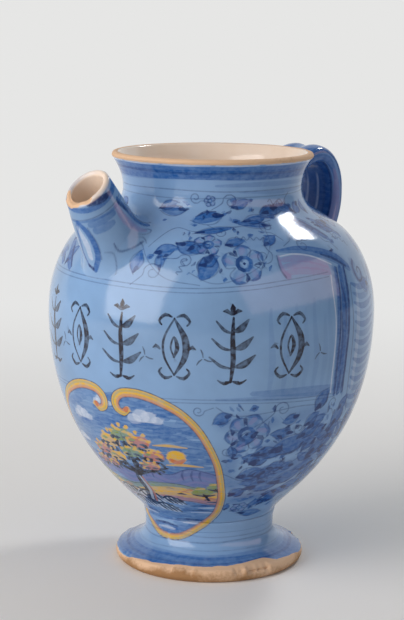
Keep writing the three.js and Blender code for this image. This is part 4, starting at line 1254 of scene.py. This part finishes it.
# The strap ends where its spine is HANDLE_END_DEPTH under the body's outer skin. No part of
# it lies deeper than HANDLE_DEPTH, so that it stays inside the wall.
HANDLE_END_DEPTH = 2.6
HANDLE_DEPTH = 2.8
HANDLE_GLAZE = "#7ea3d8"
handle_bends = [
    (HANDLE_ROOT, (53.0, 200.23), (61.5, 205.1), HANDLE_CROWN),
    (HANDLE_CROWN, (75.39, 205.1), (81.3, 197.27), HANDLE_SIDE),
    (HANDLE_SIDE, (81.3, 176.72), (HANDLE_BASE[0] + 12.6, 173.4), HANDLE_BASE),
]
t = np.linspace(0, 1, 121)[:, None]
spine = np.vstack([cubic(t, *map(np.array, places))[:-1] for places in handle_bends]
                  + [np.array([HANDLE_BASE])])
spine_run = np.concatenate([[0], np.cumsum(np.hypot(*np.diff(spine, axis=0).T))])
spine_slope = np.gradient(spine, spine_run, axis=0)
spine_slope /= np.hypot(*spine_slope.T)[:, None]
handle_length = spine_run[-1]


def strap_places(distance, turn):
    """Places round the strap at a distance along it; turn 0 is the middle of its back."""
    distance, turn = np.broadcast_arrays(np.array(distance, float), turn)
    centre = [np.interp(distance, spine_run, spine[:, i]) for i in (0, 1)]
    slope = [np.interp(distance, spine_run, spine_slope[:, i]) for i in (0, 1)]
    share = distance / handle_length
    half = (HANDLE_WIDTHS[0] + (HANDLE_WIDTHS[1] - HANDLE_WIDTHS[0]) * share) / 2
    thick = (HANDLE_THICKNESSES[0] + (HANDLE_THICKNESSES[1] - HANDLE_THICKNESSES[0]) * share) / 2
    across = half * np.sign(np.sin(turn)) * np.abs(np.sin(turn)) ** 0.72
    up = thick * np.sign(np.cos(turn)) * np.abs(np.cos(turn)) ** 0.72
    groove = HANDLE_GROOVE[1] * np.exp(-(across / HANDLE_GROOVE[0]) ** 2)
    up = up - np.where(np.cos(turn) > 0, groove, 0)
    return np.stack([across, centre[0] - slope[1] * up, centre[1] + slope[0] * up], axis=-1)


strap_turns = np.linspace(-math.pi, math.pi, HANDLE_COLUMNS, endpoint=False) + 0.001
spine_out = spine[:, 0] - radius_at_height(spine[:, 1]) > -HANDLE_END_DEPTH
first_out = spine_run[np.argmax(spine_out)]
last_out = spine_run[len(spine) - 1 - np.argmax(spine_out[::-1])]
strap_runs = np.linspace(first_out, last_out, 130)
strap_mesh = np.array([strap_places(distance, strap_turns) for distance in strap_runs])
strap_level = np.hypot(strap_mesh[..., 0], strap_mesh[..., 1])
sunk = np.maximum(radius_at_height(strap_mesh[..., 2]) - HANDLE_DEPTH - strap_level, 0)
strap_mesh[..., :2] *= (1 + sunk / strap_level)[..., None]
strap_side = np.cumsum(np.linalg.norm(np.diff(strap_mesh[60], axis=0, append=strap_mesh[60][:1]),
                                      axis=1))
strap_side -= strap_side[HANDLE_COLUMNS // 2]
strap_flat = np.stack(np.broadcast_arrays(strap_side[None], strap_runs[:, None]), axis=2)
strap_marks = [flat_mark([(0, 0, 1.6), (0.4, 40, 1.3), (0, handle_length, 1.8)], "wash", 0.85)]
STRAP_STROKES = (
    (7.5, 7, 3.3, "wash", 0.75), (12.6, 12.6, 1.9, "wash", 0.9), (17, 17.4, 2.3, "plum", 0.7),
    (21.4, 22, 1.9, "wash", 0.95), (26.5, 27, 3.0, "wash", 0.8), (32, 33, 3.0, "wash", 0.75),
    (13.6, 14, 0.5, "line", 0.6), (20.2, 20.8, 0.6, "line", 0.7), (24, 24.4, 0.5, "line", 0.5),
    # The two white streaks are painted reflections on the strap's inner face.
    (4, 3.6, 0.4, "line", 0.5), (29.4, 29.6, 0.6, "white", 0.8), (34, 34.2, 0.6, "white", 0.7),
)
for side in (1, -1):
    for start, end, half, ink, tone in STRAP_STROKES:
        sway = chance.uniform(-0.7, 0.7, 2)
        first = handle_length * (0.46 if ink in ("plum", "white") else 0)
        strap_marks.append(flat_mark([
            (side * start, first, half * (1 if first == 0 else 0.3)),
            (side * (start + sway[0]), first + (handle_length - first) * 0.3, half * 0.9),
            (side * (end + sway[1]), first + (handle_length - first) * 0.65, half * 1.1),
            (side * end, handle_length, half)], ink, tone))
    strap_marks.append(flat_mark([(side * 17, 0, 2.4), (side * 17, handle_length * 0.3, 2.3),
                                  (side * 17.6, handle_length * 0.52, 0.8)], "wash", 0.8))
handle_layers = painted_layers(strap_flat, 1.0, strap_marks)
handle_layers["inside"] = np.zeros(strap_flat.shape[0] * strap_flat.shape[1])
strap_faces = grid_faces(*strap_mesh.shape[:2], looped=False)
strap_faces = outward(strap_mesh.reshape(-1, 3), strap_faces)
ends = [list(range(HANDLE_COLUMNS)), [len(strap_runs) * HANDLE_COLUMNS - 1 - i
                                      for i in range(HANDLE_COLUMNS)]]
if strap_faces[0][0] < strap_faces[0][1]:
    ends = [end[::-1] for end in ends]
handle = piece("pulled_handle", strap_mesh.reshape(-1, 3), strap_faces + ends,
               glazed("handle glaze", base=HANDLE_GLAZE), None, handle_layers)
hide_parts("strap_handle")
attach(handle, "root")


# Handle joints
# At each end of the strap the potter thumbed a little wet clay round the joint, which the
# glaze then rounded over.
LUTING_RISE = 5.0
LUTING_SPREAD = 5.0
LUTING_GLAZE = "#6f96d0"
for name, node_name, inside_at, outside_at, sense in (
    ("handle_top_joint", "handle_top_luting", 0.0, handle_length * 0.2, 1),
    ("handle_base_joint", "handle_base_luting", handle_length, handle_length * 0.75, -1),
):
    meet = meeting(lambda d: strap_places(d, strap_turns), strap_turns * 0 + inside_at,
                   strap_turns * 0 + outside_at)
    luting = fillet(name, lambda d: strap_places(d, strap_turns), meet, sense,
                    LUTING_RISE, strap_turns * 0 + LUTING_SPREAD,
                    glazed(name + " glaze", base=LUTING_GLAZE, inks=False))
    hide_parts(node_name)
    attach(luting, "root")


# Pedestal foot
# A solid foot turned on the wheel. The glaze was wiped off its edge so that it would not
# stick in the kiln, and the bare buff clay is rubbed and chipped from standing.
FOOT_COLUMNS = 300
FOOT_EDGE = ((46.0, 0.0), (49.9, 2.4), (47.5, 6.1))
FLANGE_TURN = (46.9, 6.55)
FOOT_TOP = (46.0, 6.8)
FOOT_COVE = ((41.1, 8.8), (37.6, 10.4), (33.0, 13.3), (33.0, 17.5))
FOOT_UNROLL = 45.0


def spaced(points, step):
    """A row of places laid out again at an even step along its own length."""
    points = np.array(points, float)
    reach = np.concatenate([[0], np.cumsum(np.hypot(*np.diff(points, axis=0).T))])
    even = np.linspace(0, reach[-1], max(int(reach[-1] / step), 2) + 1)
    return np.column_stack([np.interp(even, reach, points[:, i]) for i in (0, 1)])


t = np.linspace(0, 1, 13)[:, None]
edge = ((1 - t) ** 2 * np.array(FOOT_EDGE[0]) + 2 * (1 - t) * t * np.array(FOOT_EDGE[1])
        + t * t * np.array(FOOT_EDGE[2]))
cove = cubic(t, *map(np.array, FOOT_COVE))
outer = spaced(np.vstack([edge, FLANGE_TURN, FOOT_TOP, (43.5, 7.9), cove, (33.0, 21.5)]), 0.5)
foot_rows = np.vstack([[(0.001, 0.0), (30.0, 0.0), (44.5, 0.0)], outer,
                       [(30.2, 21.5), (30.2, 23.95), (0.001, 23.95)]])
foot_places, foot_normals, foot_faces = lathe(foot_rows, FOOT_COLUMNS)
foot_azimuths = np.linspace(-math.pi, math.pi, FOOT_COLUMNS, endpoint=False)
foot_run = np.concatenate([[0], np.cumsum(np.hypot(*np.diff(foot_rows, axis=0).T))])
foot_run -= foot_run[3 + np.argmin(np.hypot(*(outer - FLANGE_TURN).T))]
shape = (len(foot_rows), FOOT_COLUMNS)
run_grid = np.broadcast_to(foot_run[:, None], shape)
angle_grid = np.broadcast_to(foot_azimuths[None], shape)
wave = (0.35 * np.sin(angle_grid * 5 + 0.6) + 0.25 * np.sin(angle_grid * 13 + 2.0)
        + 0.12 * np.sin(angle_grid * 29 + 1.0))
worn_run = np.interp(np.degrees(angle_grid),
                     (-180, -60, -21, 5, 30, 60, 70, 86, 93, 106, 128, 180),
                     (0, -2, -1.6, 1, 2.8, 3.4, 4.6, 4.8, 1.8, 0.4, -1.6, 0))
bite = np.zeros(shape)
for azimuth, width, depth in ((77, 8, 2.0), (64, 3.2, 1.1), (20, 2.6, 0.9), (33, 2.0, 0.7),
                              (-17, 4, 0.7), (-80, 8, 1.2), (150, 7, 1.1), (-140, 5, 0.9)):
    lean = np.degrees(angle_grid) - azimuth
    rough = 1 + 0.25 * np.sin(lean * 1.3) + 0.2 * np.sin(lean * 3.1 + run_grid * 2)
    bite += depth * rough * np.clip((1 - (lean / width) ** 2) * 4, 0, 1) \
        * np.exp(-((run_grid + 1.2) / 2.2) ** 2)
edge_zone = np.clip(1 - np.abs(run_grid + 2.0) / 5, 0, 1)
sink = bite + edge_zone * 0.12 * (1 + np.sin(angle_grid * 23 + run_grid * 3)
                                 * np.sin(angle_grid * 41))
foot_places = foot_places - foot_normals * sink.reshape(-1, 1)
clay = np.clip(0.5 - (run_grid - worn_run - wave) / 2.4, 0, 1)
foot_flat = np.stack([angle_grid * FOOT_UNROLL, run_grid], axis=2)
foot_seam = math.pi * FOOT_UNROLL
foot_marks = []
for run_at, half, ink, density in ((0.6, 1.6, "wash", 0.7), (3.4, 2.2, "wash", 0.72),
                                   (6.8, 2.3, "wash", 0.66), (9.8, 1.5, "wash", 0.4),
                                   (12.8, 0.3, "line", 0.3), (17.4, 0.4, "line", 0.5),
                                   (20.4, 0.35, "line", 0.35), (4.6, 0.7, "line", 0.3),
                                   (7.6, 0.5, "line", 0.2)):
    rows = [(u, run_at + 0.5 * math.sin(u * 0.045 + run_at) + 0.25 * math.sin(u * 0.13), half)
            for u in np.linspace(-foot_seam, foot_seam, 60)]
    foot_marks.append(flat_mark(rows, ink, density))
foot_layers = painted_layers(foot_flat, 1.0, foot_marks)
carried_on(foot_places, foot_layers, ((foot_places[:, 2] > 14) & (
    np.hypot(foot_places[:, 0], foot_places[:, 1]) > 32)).astype(float))
foot_layers["clay"] = clay.ravel()
# Lighter where chips bare fresh clay, and darker towards the bottom of the bare edge as painted
# shade.
foot_layers["chips_and_shade"] = (np.clip(0.35 + (run_grid - worn_run + 0.5) * 0.2, -0.8, 0.4)
                        + 0.5 * bite).ravel()
foot_layers["inside"] = np.zeros(clay.size)
foot = piece("turned_foot", foot_places, foot_faces, glazed("foot glaze", worn=True),
             None, foot_layers)
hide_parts("pedestal_foot")
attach(foot, "root")


# Ring at the foot's joint
# Slip wiped into the joint of body and foot while the jar turned, level with both.
ring_rows = [(30.3, 21.35)]
ring_rows += [(33.05 + 0.75 * t - 0.12 * math.sin(2 * math.pi * t), 21.35 + 5.3 * t)
              for t in np.linspace(0, 1, 12)]
ring_rows += [(30.3, 26.65)]
ring_places = lathe(ring_rows, FOOT_COLUMNS)[0]
ring_faces = outward(ring_places, grid_faces(len(ring_rows), FOOT_COLUMNS))
ring_layers = {ink: np.zeros(len(ring_places)) for ink in [*INKS, "inside"]}
carried_on(ring_places, ring_layers, np.ones(len(ring_places)))
ring = piece("foot_ring", ring_places, ring_faces, glazed("ring glaze"), None, ring_layers)
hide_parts("foot_luting_ring")
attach(ring, "root")


# Studio
# The camera that was fitted to the photograph, a large softbox on the left, a small one behind,
# a fill and a panel on the right, and a pale paper sweep. Distances here are in metres.
VIEW_AZIMUTH = math.radians(45.0)
VIEW_DISTANCE = 0.8599
VIEW_HEIGHT = 0.28615
VIEW_PITCH = math.radians(10.362)
VIEW_YAW = math.radians(0.315)
VIEW_ROLL = math.radians(0.5)
FOCAL = 99.73
LAMP_AIM = Vector((0, 0, 0.11))
PAPER = "#f0efec"
PAPER_FAR = "#e6e6e5"
AIR = "#dfe3ea"
SWEEP_START = 1.6
SWEEP_RADIUS = 0.9
view_turn = Matrix.Rotation(VIEW_AZIMUTH, 3, "Z")


def look(place, right, up):
    """The pose of an object that faces away from its own +Z, such as a camera or a lamp."""
    back = right.cross(up)
    pose = Matrix((right, up, back)).transposed().to_4x4()
    pose.translation = place
    return pose


camera_data = bpy.data.cameras.new("camera")
camera_data.lens = FOCAL
camera_data.sensor_width = 36.0
camera = bpy.data.objects.new("camera", camera_data)
bpy.context.scene.collection.objects.link(camera)
side = Vector((math.cos(VIEW_YAW), math.sin(VIEW_YAW), 0))
ahead = Vector((-math.sin(VIEW_YAW), math.cos(VIEW_YAW), 0))
lift = ahead * math.sin(VIEW_PITCH) + Vector((0, 0, math.cos(VIEW_PITCH)))
right = side * math.cos(VIEW_ROLL) + lift * math.sin(VIEW_ROLL)
up = lift * math.cos(VIEW_ROLL) - side * math.sin(VIEW_ROLL)
camera.matrix_world = look(view_turn @ Vector((0, -VIEW_DISTANCE, VIEW_HEIGHT)),
                           view_turn @ right, view_turn @ up)
bpy.context.scene.camera = camera


def lamp(name, azimuth, elevation, distance, width, height, watts, tint, lights=True, shines=True):
    """An area lamp aimed at the jar; azimuth is measured from the camera, + to its right."""
    a, e = math.radians(azimuth), math.radians(elevation)
    away = view_turn @ Vector((math.sin(a) * math.cos(e), -math.cos(a) * math.cos(e), math.sin(e)))
    data = bpy.data.lights.new(name, "AREA")
    data.shape = "RECTANGLE"
    data.size = width
    data.size_y = height
    data.energy = watts
    data.color = linear(tint)[:3]
    made = bpy.data.objects.new(name, data)
    bpy.context.scene.collection.objects.link(made)
    right = Vector((0, 0, 1)).cross(away).normalized()
    made.matrix_world = look(LAMP_AIM + away * distance, right, away.cross(right))
    made.visible_diffuse = lights
    made.visible_glossy = shines


lamp("key softbox", -56, 24, 1.25, 1.0, 1.1, 13, "#fff8f3")
lamp("back softbox", 138.5, 46, 1.2, 0.17, 0.2, 3.4, "#ffffff")
lamp("fill", 66, 16, 1.8, 0.9, 1.2, 2.2, "#ffffff", shines=False)
lamp("side panel", 64, 26, 1.5, 2.3, 0.85, 9.0, "#ffd6cd", lights=False)

stage_rows = [(-2.5, 0.0), (SWEEP_START, 0.0)]
stage_rows += [(SWEEP_START + SWEEP_RADIUS * math.sin(a), SWEEP_RADIUS * (1 - math.cos(a)))
               for a in np.linspace(0.1, math.pi / 2, 16)]
stage_rows += [(2.5, 3.2)]
stage_places = [(across, depth, height) for depth, height in stage_rows for across in (-3.5, 3.5)]
stage_faces = [(2 * i, 2 * i + 1, 2 * i + 3, 2 * i + 2) for i in range(len(stage_rows) - 1)]
stage_mesh = bpy.data.meshes.new("studio_floor")
stage_mesh.from_pydata(stage_places, [], stage_faces)
stage_mesh.shade_smooth()
# Matt paper, which far behind the jar shows the camera an even grey of its own
paper = bpy.data.materials.new("studio paper")
paper.use_nodes = True
paper_tree = paper.node_tree
paper_tree.nodes.clear()
paper_shader = add(paper_tree, "ShaderNodeBsdfPrincipled", {"Base Color": linear(PAPER),
                                                            "Roughness": 0.85})
paper_place = add(paper_tree, "ShaderNodeTexCoord").outputs["Object"]
paper_depth = add(paper_tree, "ShaderNodeSeparateXYZ", {0: paper_place}).outputs["Y"]
paper_rise = add(paper_tree, "ShaderNodeMapRange", {"Value": paper_depth, "From Min": -0.05,
                                                    "From Max": 0.75},
                 interpolation_type="SMOOTHSTEP")
rays = add(paper_tree, "ShaderNodeLightPath")
seen = rays.outputs["Is Camera Ray"]
for kind in ("Is Glossy Ray", "Is Transmission Ray"):
    seen = add(paper_tree, "ShaderNodeMath", {0: seen, 1: rays.outputs[kind]},
               operation="MAXIMUM").outputs[0]
paper_share = add(paper_tree, "ShaderNodeMath", {0: paper_rise.outputs[0], 1: seen},
                  operation="MULTIPLY")
paper_glow = add(paper_tree, "ShaderNodeEmission", {"Color": linear(PAPER_FAR)})
paper_mix = add(paper_tree, "ShaderNodeMixShader", {
    0: paper_share.outputs[0], 1: paper_shader.outputs[0], 2: paper_glow.outputs[0]})
add(paper_tree, "ShaderNodeOutputMaterial", {"Surface": paper_mix.outputs[0]})
stage_mesh.materials.append(paper)
stage = bpy.data.objects.new("studio_floor", stage_mesh)
stage.matrix_world = view_turn.to_4x4()
bpy.context.scene.collection.objects.link(stage)

world = bpy.data.worlds.new("studio air")
world.use_nodes = True
world.node_tree.nodes.clear()
air = add(world.node_tree, "ShaderNodeBackground", {"Color": linear(AIR), "Strength": 0.3})
add(world.node_tree, "ShaderNodeOutputWorld", {"Surface": air.outputs[0]})
bpy.context.scene.world = world
bpy.context.scene.view_settings.view_transform = "Standard"
